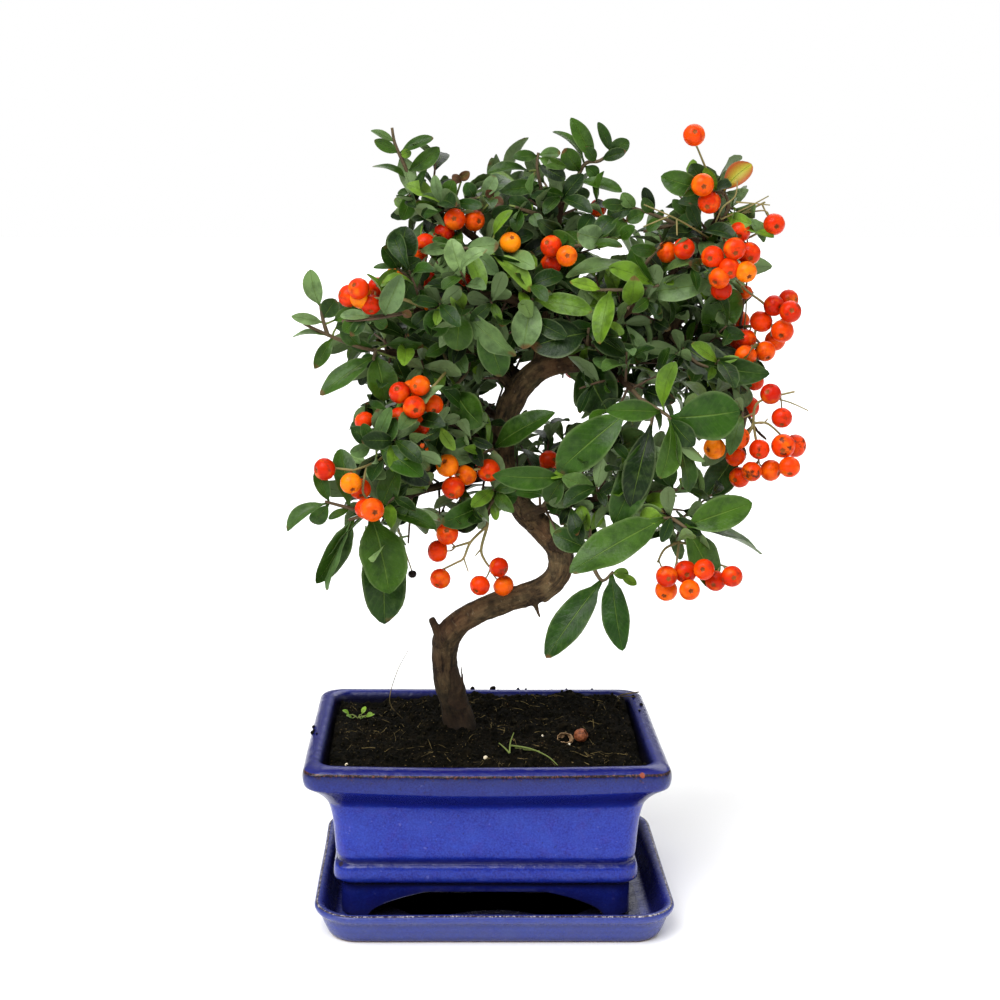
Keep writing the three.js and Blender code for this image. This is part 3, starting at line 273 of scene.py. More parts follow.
def paint_points(mesh, name, values, kind="FLOAT"):
    """Paints one value on each point of a mesh, for its finish or its tree to read."""
    layer = mesh.attributes.new(name, kind, "POINT")
    flat = [part for value in values for part in value] if kind == "FLOAT_VECTOR" else values
    layer.data.foreach_set("vector" if kind == "FLOAT_VECTOR" else "value", flat)


def ringed_body(name, rings, marks):
    """A closed body over rings that run the same way round. Its ends are closed flat. marks
    gives each ring's glaze as (where it pools, runs thin, is bare, has stains); the pools and the stains
    also paint shade."""
    count = len(rings[0])
    faces = [tuple(reversed(range(count)))]
    for k in range(1, len(rings)):
        low, high = (k - 1) * count, k * count
        for i in range(count):
            j = (i + 1) % count
            faces.append((low + i, low + j, high + j, high + i))
    faces.append(tuple(range((len(rings) - 1) * count, len(rings) * count)))
    mesh = bpy.data.meshes.new(name)
    mesh.from_pydata([point * MM for ring in rings for point in ring], [], faces)
    for which, mark in enumerate(("pooled_glaze_and_painted_shade", "thin", "bare", "stains_and_painted_shade")):
        paint_points(mesh, mark, [marks[k][which] for k in range(len(rings)) for _ in range(count)])
    return new_piece(name, mesh)


# The tray stands off the pot's middle, and is shallower than wide by TRAY_LESS on each side.
# Its corners are this round at the lip, which has this half width.
TRAY_SHIFT = Vector((3.4, -4.4, 0))
TRAY_LESS = 12.5
TRAY_CORNER = 18
TRAY_LIP = 74.5
# Height, half width, and where the glaze pools, runs thin, is bare or has stains, up the outside
# and down the inside. Pools and stains also paint shade, and the pot's shadow on the floor.
TRAY_PROFILE = [
    (0.0, 58, 0, 0, 1, 0), (0.0, 66.4, 0, 0, 1, 0), (0.5, 67.6, 0.3, 0.3, 0.6, 0),
    (1.5, 68.8, 0.7, 0.2, 0, 0), (4, 70, 0.1, 0.05, 0, 0), (5.6, 70.7, 0.1, 0.3, 0, 0),
    (7, 71.2, 0.1, 0, 0, 0), (8.6, 71.8, 0.1, 0.3, 0, 0),
    (9.8, 72.5, 0.7, 0, 0, 0), (11, 73.9, 0.2, 0, 0, 0), (12.3, 74.5, 0, 0, 0, 0),
    (13.1, 74.4, 0.2, 0.2, 0, 0), (13.5, 74.05, 0.3, 0.2, 0, 0), (13.7, 73.75, 0, 0.9, 0, 0),
    (13.85, 73.5, 0, 1, 0, 0), (13.95, 73.2, 0, 1, 0, 0), (14.0, 72.9, 0.3, 0.2, 0, 0),
    (14.0, 72.4, 0.6, 0, 0, 0), (13.8, 71.4, 0.9, 0, 0, 0), (13.0, 70.2, 1, 0, 0, 0.2),
    (11, 69, 1, 0, 0, 0.4), (8, 68, 1, 0, 0, 0.5), (5.2, 66.8, 1, 0, 0, 0.6),
    (4.5, 65, 0.8, 0, 0, 0.3), (4.5, 62.6, 0.3, 0, 0, 0.2), (4.5, 60.6, 0.3, 0, 0, 0.95),
    (4.5, 28, 0, 0, 0, 1),
]
rings, marks = [], []
for z, half, *mark in softened(TRAY_PROFILE):
    outline = rounded_outline(half, half - TRAY_LESS, TRAY_CORNER - (TRAY_LIP - half))
    ring = [Vector((x, y, z)) + TRAY_SHIFT for x, y in outline]
    rings.append(ring if z < 1.0 else [waver(point) for point in ring])
    marks.append(mark)
tray = ringed_body("drip_tray_glazed", rings, marks)
# On the tray the pale edge shade is near white: with the narrow thin rows along the rim's top it paints
# a highlight on the worn edge.
tray.data.materials.append(cobalt_glaze("tray_glaze", [
    ((78.2, -6.1, 12), 1.0, (112, 60, 40)),
    ((75.2, -22, 13), 0.6, (74, 42, 34)),
], ((46, 34, 44), (196, 190, 192)), dusty=0.42))
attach(tray, "root")
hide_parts("drip_tray")


# The pot.
# A rectangular stoneware pot with a thick rolled rim, a band low on its body, and a skirt
# that is cut in a low arch between four corner feet. It is cast in one piece, with two drain
# holes, and glazed like its tray.

FOOT_Z = 4.8
SKIRT_TOP = 18.5
UNDERSIDE_Z = 16.0
FLOOR_Z = 20.5
# The pot is shallower than wide by this on each side.
DEPTH_LESS = 16.0
POT_CORNER = 8.0
# Height, half width, and where the glaze pools, runs thin, is bare or has stains. Pools and
# stains also paint shade under the lip and the band, on the skirt and feet, and on the inner walls.
SKIRT_INSIDE = [
    (UNDERSIDE_Z, 30, 0, 0, 1, 0.7), (UNDERSIDE_Z, 54, 0, 0, 1, 0.8), (15.4, 54.6, 0, 0, 1, 0.8),
    (FOOT_Z + 0.4, 54.8, 0, 0, 1, 0.8), (FOOT_Z, 55.4, 0, 0, 1, 0.7),
]
POT_OUTSIDE = [
    (FOOT_Z, 60.0, 0, 0, 1, 0.9), (FOOT_Z + 0.5, 60.6, 0.8, 0, 0, 0.8),
    (FOOT_Z + 1.4, 60.7, 0.8, 0, 0, 0.6), (11, 60.6, 0.8, 0, 0, 0.45), (15, 60.6, 0.7, 0, 0, 0.3),
    (17.5, 60.6, 0.8, 0, 0, 0.5), (19.4, 60.9, 1, 0, 0, 0.85), (20.2, 62.3, 0.9, 0.8, 0, 0.5),
    (21.0, 63.3, 0.5, 0.5, 0, 0), (22.0, 63.6, 0.3, 0.3, 0, 0), (24.5, 63.6, 0.15, 0, 0, 0),
    (26.9, 63.3, 0.2, 0.2, 0, 0), (27.8, 62.6, 0.7, 0.4, 0, 0.1), (28.5, 61.8, 1, 0, 0, 0.45),
    (29.6, 62.0, 1, 0, 0, 0.2), (30.4, 62.2, 0.8, 0, 0, 0),
    (31.5, 62.6, 0.1, 0.1, 0, 0), (34, 62.8, 0, 0, 0, 0), (40, 63.1, 0, 0, 0, 0),
    (48, 63.8, 0, 0, 0, 0), (54, 65.2, 0, 0, 0, 0), (55.6, 66.0, 0.7, 0, 0, 0),
    (58.5, 68, 1, 0, 0, 0.2), (61.5, 71, 1, 0, 0, 0.2), (63.4, 73.5, 0.9, 0, 0, 0),
    (64.4, 74.5, 0.2, 0.4, 0, 0.1), (66.5, 75.0, 0, 0.44, 0, 0.2), (68.5, 75.2, 0, 0.52, 0, 0.3),
    (70.0, 75.1, 0, 0.6, 0, 0.4), (70.7, 74.95, 0, 0.66, 0, 0.5), (71.0, 74.85, 0, 1, 0, 0.5),
    (71.3, 74.7, 0, 1, 0, 0.3), (71.6, 74.5, 0, 1, 0, 0), (71.9, 74.3, 0.9, 0.1, 0, 0),
    (72.9, 73.2, 1, 0, 0, 0),
    (73.5, 71.6, 1, 0, 0, 0), (73.7, 70.0, 0.9, 0, 0, 0), (73.4, 68.9, 0.8, 0, 0, 0.1),
]
POT_INSIDE = [
    (72.6, 67.9, 0.7, 0.4, 0, 0.4), (71, 67.2, 0.8, 0, 0, 0.9), (68, 66.9, 0.5, 0, 0, 1),
    (63, 65.2, 0.6, 0, 0, 1), (56, 61, 0.5, 0, 1, 0.5), (46, 58.6, 0, 0, 1, 0),
    (30, 57.6, 0, 0, 1, 0), (FLOOR_Z, 56.5, 0, 0, 1, 0), (FLOOR_Z, 30, 0, 0, 1, 0),
]
ARCH_PEAK = UNDERSIDE_Z - 0.4 - FOOT_Z
# Half an arch's width, and how far in from its end it rises.
FRONT_ARCH = (49.0, 24.0)
SIDE_ARCH = (32.0, 14.0)
DRAIN_X = 26
DRAIN_RADIUS = 5.5
DRILL_LENGTH = 12


def arch_lift(x, y):
    """How far the skirt's lower edge stands above the feet at this place."""
    front_or_back = abs(y) + DEPTH_LESS >= abs(x)
    (half, reach), place = (FRONT_ARCH, x) if front_or_back else (SIDE_ARCH, y)
    share = max(0.0, min(1.0, (half - abs(place)) / reach))
    return ARCH_PEAK * share ** 0.55


def front_sag(x, y, z):
    """The front rim hangs a little in its middle, and its lip is thickest there."""
    if y > -30:
        return 0.0
    bow = max(0.0, 1 - (x / 66) ** 2)
    onset = max(0.0, min(1.0, (z - 52) / 8))
    lip = max(0.0, min(1.0, (70 - z) / 5))
    return bow * onset * (0.8 + 1.2 * lip)


rings, marks = [], []
profile = softened(SKIRT_INSIDE + POT_OUTSIDE + POT_INSIDE)
highest = max(range(len(profile)), key=lambda k: profile[k][0])
lowest = min(range(highest), key=lambda k: profile[k][0])
for k, (z, half, *mark) in enumerate(profile):
    corner = POT_CORNER - 4 if k < lowest - 2 else POT_CORNER
    top = UNDERSIDE_Z if k < lowest else SKIRT_TOP
    ring = []
    for x, y in rounded_outline(half, half - DEPTH_LESS, corner):
        share = max(0.0, (top - z) / (top - FOOT_Z)) if k <= highest else 0.0
        point = Vector((x, y, z + arch_lift(x, y) * share - front_sag(x, y, z)))
        ring.append(waver(point) if z > FOOT_Z + 1 else point)
    rings.append(ring)
    marks.append(mark)
pot = ringed_body("pot_glazed", rings, marks)

bm = bmesh.new()
for x in (-DRAIN_X, DRAIN_X):
    place = Matrix.Translation(Vector((x, 0, FLOOR_Z - 2)) * MM)
    bmesh.ops.create_cone(bm, cap_ends=True, segments=40, radius1=DRAIN_RADIUS * MM,
                          radius2=DRAIN_RADIUS * MM, depth=DRILL_LENGTH * MM, matrix=place)
drills = new_piece("drills", mesh_from(bm, "drills"), smooth=False)
holes = pot.modifiers.new("drain_holes", "BOOLEAN")
holes.operation = "DIFFERENCE"
holes.object = drills
make_plain(pot)
bpy.data.objects.remove(drills)
pot.data.materials.clear()
pot.data.materials.append(cobalt_glaze("pot_glaze", [
    ((62.3, -59.0, 71.6), 1.3, (132, 62, 42)),
    ((61.8, -46.0, 22.5), 1.3, (104, 58, 44)),
    ((60.6, -44.6, 29), 1.2, (26, 18, 44)),
    ((-60.6, -44.6, 28.6), 1.6, (28, 18, 40)),
    ((-62.4, -46, 21), 1.5, (30, 20, 30)),
    ((-74, -2, 73.5), 0.7, (20, 18, 30)),
    ((-73.6, -10, 73.5), 0.8, (24, 20, 34)),
], ((30, 18, 28), (118, 64, 50))))
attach(pot, "root")
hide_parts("pot")


# The drain meshes.
# A square of black plastic mesh lies over each drain hole and keeps the soil in. They are
# cut from a moulded sheet, and the soil lies on them.

plastic = Finish("mesh_plastic", (26, 26, 26))
plastic.wash(plastic.cloud(2.5, 3), (52, 50, 46))
grained = plastic.patches(0.4, 0.2, 0.8)
plastic_material = plastic.set(plastic.scaled(grained, 0.2, 0.45), grained, 0.05)
for node in ("drain_mesh_left", "drain_mesh_right"):
    drain_mesh = frame["nodes"][node]
    drain_mesh.data.materials.clear()
    drain_mesh.data.materials.append(plastic_material)


# The soil.
# Dark peaty potting soil fills the pot nearly to its rim. It rises to the back, is low in
# the back left corner, and is mounded round the foot of the trunk. Dried crumbs lie on top.

SOIL_TOP = 69.5
SOIL_EDGE_Z = 63.0
SOIL_CLEAR = 0.6
FLOOR_CLEAR = 0.3
SOIL_HALF = 65.8
TOP_RINGS = 60
# Height from which a place is looked for straight down.
FROM_ABOVE = 200


def soil_height(x, y):
    """Height of the soil's top in millimetres, the lumps of the solid with finer ones on them."""
    lumps = math.sin(x * 0.31 + y * 0.17) + math.sin(x * 0.13 - y * 0.37 + 1.4)
    mound = 2.5 * math.exp(-((x + 14) ** 2 + (y - 6) ** 2) / 330)
    hollow = 4.5 * math.exp(-((x + 54) ** 2 + (y - 42) ** 2) / 500)
    fine = noise.fractal(Vector((x / 5.0, y / 5.0, 0.3)), 0.7, 2.1, 4)
    clods = max(0.0, noise.noise(Vector((x / 3.4, y / 3.4, 4.0)))) * 2.6
    return SOIL_TOP + lumps * 0.6 + y * 0.075 + mound - hollow + fine * 0.8 + clods - 0.4


wall = [(z, half) for z, half, *_ in reversed(POT_INSIDE) if z <= SOIL_EDGE_Z][1:]
wall[0] = (wall[0][0] + FLOOR_CLEAR, wall[0][1])
rings = []
for z, half in wall:
    half -= SOIL_CLEAR
    outline = rounded_outline(half, half - DEPTH_LESS, POT_CORNER)
    rings.append([Vector((x, y, z)) for x, y in outline])
outline = rounded_outline(SOIL_HALF, SOIL_HALF - DEPTH_LESS, POT_CORNER)
for k in range(TOP_RINGS):
    share = 1 - k / TOP_RINGS
    sunk = max(0.0, 1 - k / 3) ** 2
    rings.append([
        Vector((x * share, y * share, soil_height(x * share, y * share) - sunk))
        for x, y in outline])
soil = ringed_body("soil_filled", rings, [(0, 0, 0, 0)] * len(rings))


def potting_soil(name, lift):
    """Peaty soil. lift makes it paler, as crumbs that have dried on top are."""
    earth = Finish(name, (3 + lift, 3 + lift, 1 + lift), Roughness=0.95, Specular_IOR_Level=0.06)
    grains = earth.cloud(1.6, 6, 0.75)
    earth.wash(earth.rise(grains, 0.44, 0.72), (34 + lift, 29 + lift, 19 + lift))
    earth.dapple((32 + lift, 25 + lift, 13), 0.3, 7, 0.5, 0.7, 3)
    earth.dapple((2 + lift, 2 + lift, 1), 0.6, 6, 0.44, 0.56, 4, 0.6)
    flecks = earth.patches(0.8, 0.7, 0.74, 2, 0.3)
    earth.wash(earth.sum("MULTIPLY", flecks, earth.patches(9, 0.45, 0.6, 3)), (122, 104, 68))
    return earth.set(height=grains, depth=1.2)


soil.data.materials.append(potting_soil("potting_soil", 0))
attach(soil, "root")
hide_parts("soil")
soil_surface = BVHTree.FromObject(soil, bpy.context.evaluated_depsgraph_get())


def on_soil(x, y, lift=0.0):
    """The point on the soil at x and y, in millimetres."""
    hit = soil_surface.ray_cast(Vector((x, y, FROM_ABOVE)) * MM, Vector((0, 0, -1)))[0]
    return Vector((x, y, (hit.z / MM if hit else SOIL_TOP) + lift))


class Grower(NodeWork):
    """A geometry tree in the making, with its named inputs."""

    def __init__(self, name, inputs):
        super().__init__(bpy.data.node_groups.new(name, "GeometryNodeTree"))
        face = self.tree.interface
        face.new_socket("Geometry", in_out="INPUT", socket_type="NodeSocketGeometry")
        for label, kind, value in inputs:
            socket = face.new_socket(label, in_out="INPUT", socket_type="NodeSocket" + kind)
            if value is not None:
                socket.default_value = value
        face.new_socket("Geometry", in_out="OUTPUT", socket_type="NodeSocketGeometry")
        self.given = self.put("NodeGroupInput").outputs

    def painted(self, name, data_type):
        """What is painted on the points under this name."""
        node = self.put("GeometryNodeInputNamedAttribute", {"Name": name}, data_type=data_type)
        return node.outputs["Attribute"]

    def done(self, geometry):
        """The finished tree, which gives out this geometry."""
        self.put("NodeGroupOutput", {"Geometry": geometry})
        return self.tree


def grown(piece, tree, values):
    """Runs a tree on a piece once, and leaves the plain mesh that comes out of it."""
    work = piece.modifiers.new("grown", "NODES")
    work.node_group = tree
    sockets = {s.name: s.identifier for s in tree.interface.items_tree if s.in_out == "INPUT"}
    for label, value in values.items():
        work[sockets[label]] = value
    make_plain(piece)
    return piece


def shapes(name, meshes):
    """A collection of shapes for a tree to pick from, in order. They aren't pieces."""
    store = bpy.data.collections.new(name)
    bpy.context.scene.collection.children.link(store)
    for number, mesh in enumerate(meshes):
        store.objects.link(bpy.data.objects.new(f"{name}_{number:02d}", mesh))
    return store


def put_away(store):
    """Removes a collection of shapes once they are in the pieces' meshes."""
    for shape in list(store.objects):
        bpy.data.objects.remove(shape)
    bpy.data.collections.remove(store)


crumb_tree = Grower("crumbs_on_soil", [
    ("Crumb Shapes", "Collection", None), ("Crumbs per Square Metre", "Float", 200000.0),
    ("Smallest", "Float", 0.0003), ("Largest", "Float", 0.001), ("Seed", "Int", 4),
    ("Finish", "Material", None),
])
given = crumb_tree.given
strewn = crumb_tree.put("GeometryNodeDistributePointsOnFaces", {
    "Mesh": given["Geometry"], "Density": given["Crumbs per Square Metre"], "Seed": given["Seed"],
})
turned = crumb_tree.put("FunctionNodeRandomValue", {
    "Max": (math.tau, math.tau, math.tau), "Seed": given["Seed"]}, data_type="FLOAT_VECTOR")
sized = crumb_tree.put("FunctionNodeRandomValue", {
    2: given["Smallest"], 3: given["Largest"], "Seed": given["Seed"]}, data_type="FLOAT")
store = crumb_tree.put("GeometryNodeCollectionInfo", {
    "Collection": given["Crumb Shapes"], "Separate Children": True, "Reset Children": True})
laid = crumb_tree.put("GeometryNodeInstanceOnPoints", {
    "Points": strewn.outputs["Points"], "Instance": store.outputs[0], "Pick Instance": True,
    "Rotation": turned.outputs[0], "Scale": sized.outputs[1]})
real = crumb_tree.put("GeometryNodeRealizeInstances", {"Geometry": laid.outputs[0]})
crumbs_on_soil = crumb_tree.done(crumb_tree.put("GeometryNodeSetMaterial", {
    "Geometry": real.outputs[0], "Material": given["Finish"]}).outputs[0])

draw = random.Random(31)
crumb_meshes = []
for number in range(5):
    bm = bmesh.new()
    bmesh.ops.create_icosphere(bm, subdivisions=1, radius=1.0)
    for vert in bm.verts:
        vert.co *= 0.7 + 0.6 * draw.random()
        vert.co.z *= 0.7
    crumb_meshes.append(mesh_from(bm, f"crumb_{number}"))
crumb_shapes = shapes("crumb_shapes", crumb_meshes)

# The crumbs are strewn on a sheet that follows the soil's top.
ACROSS, DEEP = 60, 44
bm = bmesh.new()
for row in range(DEEP + 1):
    for column in range(ACROSS + 1):
        x = (column / ACROSS - 0.5) * 2 * (SOIL_HALF - 1)
        y = (row / DEEP - 0.5) * 2 * (SOIL_HALF - DEPTH_LESS - 1)
        bm.verts.new(on_soil(x, y, 0.1) * MM)
bm.verts.ensure_lookup_table()
for row in range(DEEP):
    for column in range(ACROSS):
        first = row * (ACROSS + 1) + column
        corners = (first, first + 1, first + ACROSS + 2, first + ACROSS + 1)
        bm.faces.new([bm.verts[k] for k in corners])
crumbs = grown(new_piece("soil_crumbs", mesh_from(bm, "soil_crumbs")), crumbs_on_soil, {
    "Crumb Shapes": crumb_shapes, "Crumbs per Square Metre": 170000.0, "Smallest": 0.0003,
    "Largest": 0.0012, "Seed": 12, "Finish": potting_soil("soil_crumb", 6)})
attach(crumbs, "root")
put_away(crumb_shapes)


# The trunk and its branches.
# An old firethorn stem that was bent into an S and cut back over years, so it has a stub,
# a dead spike and a thorn. Its bark is dark grey-brown, finely furrowed along the grain,
# and browner and smoother on the limbs. The foot stands in the soil.

# Where the photograph was taken from.
EYE = Vector((-18, -711.8, 300))
# The wood's lines have points this far apart, and are fused at this fineness.
WOOD_STEP = 1.2
VOXEL = 0.7
# Places along the limbs are counted this far apart, so each has a grain of its own.
LIMBS_APART = 300
# The trunk is darker towards its foot: fully so up to this height, and plain from this one on, in
# metres.
DARK_FOOT_TO_PLAIN = (0.074, 0.122)


def seen(x, z, y):
    """A point of the tree is where it shows on the plane Y = 0, and its depth y."""
    reach = (y - EYE.y) / -EYE.y
    return Vector((EYE.x + (x - EYE.x) * reach, y, EYE.z + (z - EYE.z) * reach))


def as_shown(point):
    """Where a point shows on the plane Y = 0."""
    reach = -EYE.y / (point.y - EYE.y)
    return Vector((EYE.x + (point.x - EYE.x) * reach, 0, EYE.z + (point.z - EYE.z) * reach))


# From the foot in the soil to the tip at the top right: x, z, depth, radius.
TRUNK = [
    (-8, 42, 6, 7), (-8.5, 55, 6, 7.2), (-10, 72, 6, 6.9), (-12.6, 82, 6, 6.3),
    (-15.2, 92, 5.5, 6.1), (-17.5, 102, 5, 5.6), (-17, 110, 4, 5.9), (-13.5, 117, 3, 5.9),
    (-7, 122.5, 2, 5.4), (1, 126.5, 1, 5.2), (10, 130, 0, 5.3), (20, 132.5, -1, 5.2),
    (28, 136.5, -2, 5.2), (32.5, 143, -2, 5.2), (32.5, 150, -2, 5.2), (28.5, 156.5, -1, 5.3),
    (22.5, 163, 0, 5.3), (16, 169.5, 1, 5.4), (11, 177, 2, 5.2), (8, 186, 3, 5),
    (7.5, 196, 3, 4.8), (8.5, 206, 3, 4.9), (11, 215, 2, 5.2), (16, 223, 2, 5.3),
    (23, 229, 2, 4.8), (31, 231, 2, 4.4), (40, 231.5, 4, 3.9), (50, 234, 6, 3.5),
    (62, 238, 6, 3.1), (72, 240, 4, 2.8), (77, 243, 2, 2.6), (80, 251, 0, 2.2),
    (83.5, 261, -2, 1.9), (87.5, 272, -4, 1.7), (91, 282, -6, 1.5), (95, 291, -8, 1.2),
    (99, 297, -10, 1),
]
# Limbs, each from the middle of the wood that it grows from.
LIMBS = [
    # Up to the top of the crown.
    [(23, 229, 2, 3.4), (24, 240, 6, 3.2), (24, 252, 8, 2.8), (26, 264, 8, 2.5),
     (28, 276, 6, 2.2), (29, 288, 2, 1.9), (31, 298, 0, 1.5)],
    [(24, 252, 8, 2.4), (16, 262, 4, 2.4), (8, 272, 0, 2.1), (-2, 281, -2, 1.9),
     (-12, 289, -2, 1.6), (-22, 294.5, 0, 1.4), (-28.5, 298.5, 2, 1.2)],
    # Left side.
    [(24, 244, 6, 2.4), (14, 257, -8, 2.4), (0, 259, -16, 2.1), (-12, 256.5, -20, 1.8),
     (-30, 253, -26, 1.4)],
    [(13, 219, 2, 2.6), (4, 229, 6, 2.4), (-6, 237, 6, 2.2), (-18, 237, 2, 2),
     (-30, 235.5, -4, 1.7), (-42, 236, -10, 1.5)],
    [(8, 186, 3, 2.3), (-2, 183, 2, 2.2), (-12, 181, 0, 2), (-20, 179, -4, 1.8),
     (-28, 177, -8, 1.7), (-35, 174, -14, 1.5), (-42, 170, -20, 1.3), (-47, 167, -24, 1.1)],
    [(7.5, 197, 3, 1.5), (-3, 200, -2, 1.4), (-12, 205, -8, 1.2), (-22, 206, -16, 1.1),
     (-34, 201, -24, 1), (-44, 196, -30, 0.9)],
    [(10, 178, 2, 1.5), (5, 178, -4, 1.4), (3, 172, -8, 1.1), (1, 166, -10, 0.9)],
    # Right side, low.
    [(17, 168, 0, 2), (24, 169.5, -6, 1.9), (30, 171.5, -10, 1.7), (45, 173.5, -18, 1.4),
     (58, 174.5, -24, 1.2), (71, 176, -28, 1.1), (78, 164, -32, 0.9), (83, 160, -34, 0.8)],
    [(29.5, 155, -1, 1.3), (38, 153, -14, 1.2), (45, 148, -22, 1)],
    # Right side, middle and high.
    [(50, 234, 6, 1.8), (56, 226, -10, 1.6), (62, 220, -22, 1.3)],
    [(77, 243, 2, 1.6), (88, 233, -8, 1.4), (98, 225, -14, 1.2), (105, 218, -18, 1),
     (110, 211, -20, 0.9), (114, 204, -22, 0.8), (119, 199, -24, 0.7)],
    [(77, 243, 2, 1.4), (90, 241.5, -2, 1.2), (100, 245, -6, 0.9), (108, 246.8, -8, 0.8)],
    [(40, 231.5, 4, 2.6), (48, 243, -2, 2.4), (58, 252.5, -6, 2.1), (71, 262, -10, 1.8),
     (80, 271, -12, 1.4)],
    # To the back.
    [(16, 223, 2, 2.5), (8, 232, 20, 2.4), (-4, 244, 36, 1.9), (-18, 254, 48, 1.4)],
    [(31, 231, 2, 2.5), (38, 240, 22, 2.4), (48, 250, 40, 1.9), (58, 262, 54, 1.4)],
    [(24, 264, 8, 2), (20, 278, 24, 1.9), (14, 290, 36, 1.4)],
    [(62, 238, 6, 1.7), (74, 232, 24, 1.6), (84, 224, 40, 1.2)],
    [(8.5, 206, 3, 1.9), (0, 212, 20, 1.8), (-14, 216, 36, 1.4), (-28, 214, 48, 1.1)],
    [(11, 177, 2, 1.6), (20, 184, 18, 1.5), (32, 190, 34, 1.2), (44, 190, 46, 1)],
    [(72, 240, 4, 1.6), (82, 250, 22, 1.5), (90, 260, 38, 1.2)],
    [(-6, 237, 6, 1.7), (-22, 242, 22, 1.5), (-38, 242, 34, 1.2)],
]
# A cut stub, a thorn and a dead spike on the trunk.
DEAD_WOOD = [
    [(-17, 110, 4, 2.6), (-19, 113, 2, 2.2), (-23, 121.5, 0, 1.7)],
    [(20.5, 132, -1, 1.6), (22, 127, -3, 1.2), (24, 121.5, -4, 0.5)],
    [(-12, 84, 4, 1.1), (-9.5, 90, 0, 0.9), (-10, 100, -1, 0.5)],
]


def flowing(path, step):
    """Points and radii on a smooth line through a path's points, about step apart."""
    knots = [(seen(*point[:3]), point[3]) for point in path]
    knots = [knots[0]] + knots + [knots[-1]]
    line = []
    for (a, ra), (b, rb), (c, rc), (d, rd) in zip(knots, knots[1:], knots[2:], knots[3:]):
        pieces = max(2, round((c - b).length / step))
        for k in range(pieces):
            t = k / pieces
            weights = (-t + 2 * t ** 2 - t ** 3, 2 - 5 * t ** 2 + 3 * t ** 3,
                       t + 4 * t ** 2 - 3 * t ** 3, t ** 3 - t ** 2)
            point = sum((p * w for p, w in zip((a, b, c, d), weights)), Vector()) / 2
            radius = sum(r * w for r, w in zip((ra, rb, rc, rd), weights)) / 2
            line.append((point, radius))
    return line + [knots[-1]]


def frames_along(line):
    """For each point of a line: how far along it is, its direction and two directions across."""
    across, gone, frames = Vector((0.3, -1, 0.2)), 0.0, []
    for k, (point, _) in enumerate(line):
        before, after = line[max(k - 1, 0)][0], line[min(k + 1, len(line) - 1)][0]
        along = (after - before).normalized()
        across = (across - along * across.dot(along)).normalized()
        gone += (point - line[max(k - 1, 0)][0]).length
        frames.append((gone, along, across, along.cross(across)))
    return frames


def limb_tube(bm, line, sides):
    """Adds a closed tube along a line, with blunt ends."""
    rings = []
    for (point, radius), (_, along, across, third) in zip(line, frames_along(line)):
        ring = []
        for k in range(sides):
            angle = math.tau * k / sides
            spoke = across * math.cos(angle) + third * math.sin(angle)
            ring.append(bm.verts.new((point + spoke * radius) * MM))
        rings.append(ring)
    for low, high in zip(rings, rings[1:]):
        band(bm, low, high)
    bm.faces.new(reversed(rings[0]))
    bm.faces.new(rings[-1])


bm = bmesh.new()
wood_lines = [flowing(path, WOOD_STEP) for path in [TRUNK, *LIMBS, *DEAD_WOOD]]
for line in wood_lines:
    stout = line[0][1] > 4
    limb_tube(bm, line, sides=20 if stout else 12)
wood = new_piece("trunk_and_branches_bark", mesh_from(bm, "trunk_and_branches_bark"))
fuse = wood.modifiers.new("fuse", "REMESH")
fuse.mode = "VOXEL"
fuse.voxel_size = VOXEL * MM
soften = wood.modifiers.new("soften", "SMOOTH")
soften.factor = 0.5
soften.iterations = 3
make_plain(wood)
fused = wood.data
fused.polygons.foreach_set("use_smooth", [True] * len(fused.polygons))

# Along the wood: point, radius, how far along it is, its direction and the two across.
samples = [
    (point, radius, gone + LIMBS_APART * number, along, across, third)
    for number, line in enumerate(wood_lines)
    for (point, radius), (gone, along, across, third) in zip(line, frames_along(line))
]
tree_of_samples = KDTree(len(samples))
for number, sample in enumerate(samples):
    tree_of_samples.insert(sample[0], number)
tree_of_samples.balance()
grain, girth = [], []
normals = [vert.normal.copy() for vert in fused.vertices]
for vert, normal in zip(fused.vertices, normals):
    place = vert.co / MM
    near = [samples[found[1]] for found in tree_of_samples.find_n(place, 5)]
    point, radius, gone, along, across, third = min(
        near, key=lambda sample: abs((place - sample[0]).length - sample[1]))
    off = place - point
    here = Vector((gone + off.dot(along), off.dot(across), off.dot(third)))
    furrow = noise.noise(Vector((here.x / 14, here.y / 2.4, here.z / 2.4)))
    knot = noise.noise(Vector((here.x / 9, here.y / 7, here.z / 7)) + Vector((7, 3, 1)))
    ring_mark = noise.noise(Vector((here.x / 2.2, here.y / 9, here.z / 9)) + Vector((2, 9, 5)))
    stout = min(1.0, radius / 5)
    lift = furrow * 0.5 * stout + knot * 0.9 * stout + ring_mark * 0.2 * stout
    vert.co += normal * lift * MM
    grain.append(here * MM)
    girth.append(stout)
paint_points(fused, "grain", grain, "FLOAT_VECTOR")
paint_points(fused, "girth", girth)

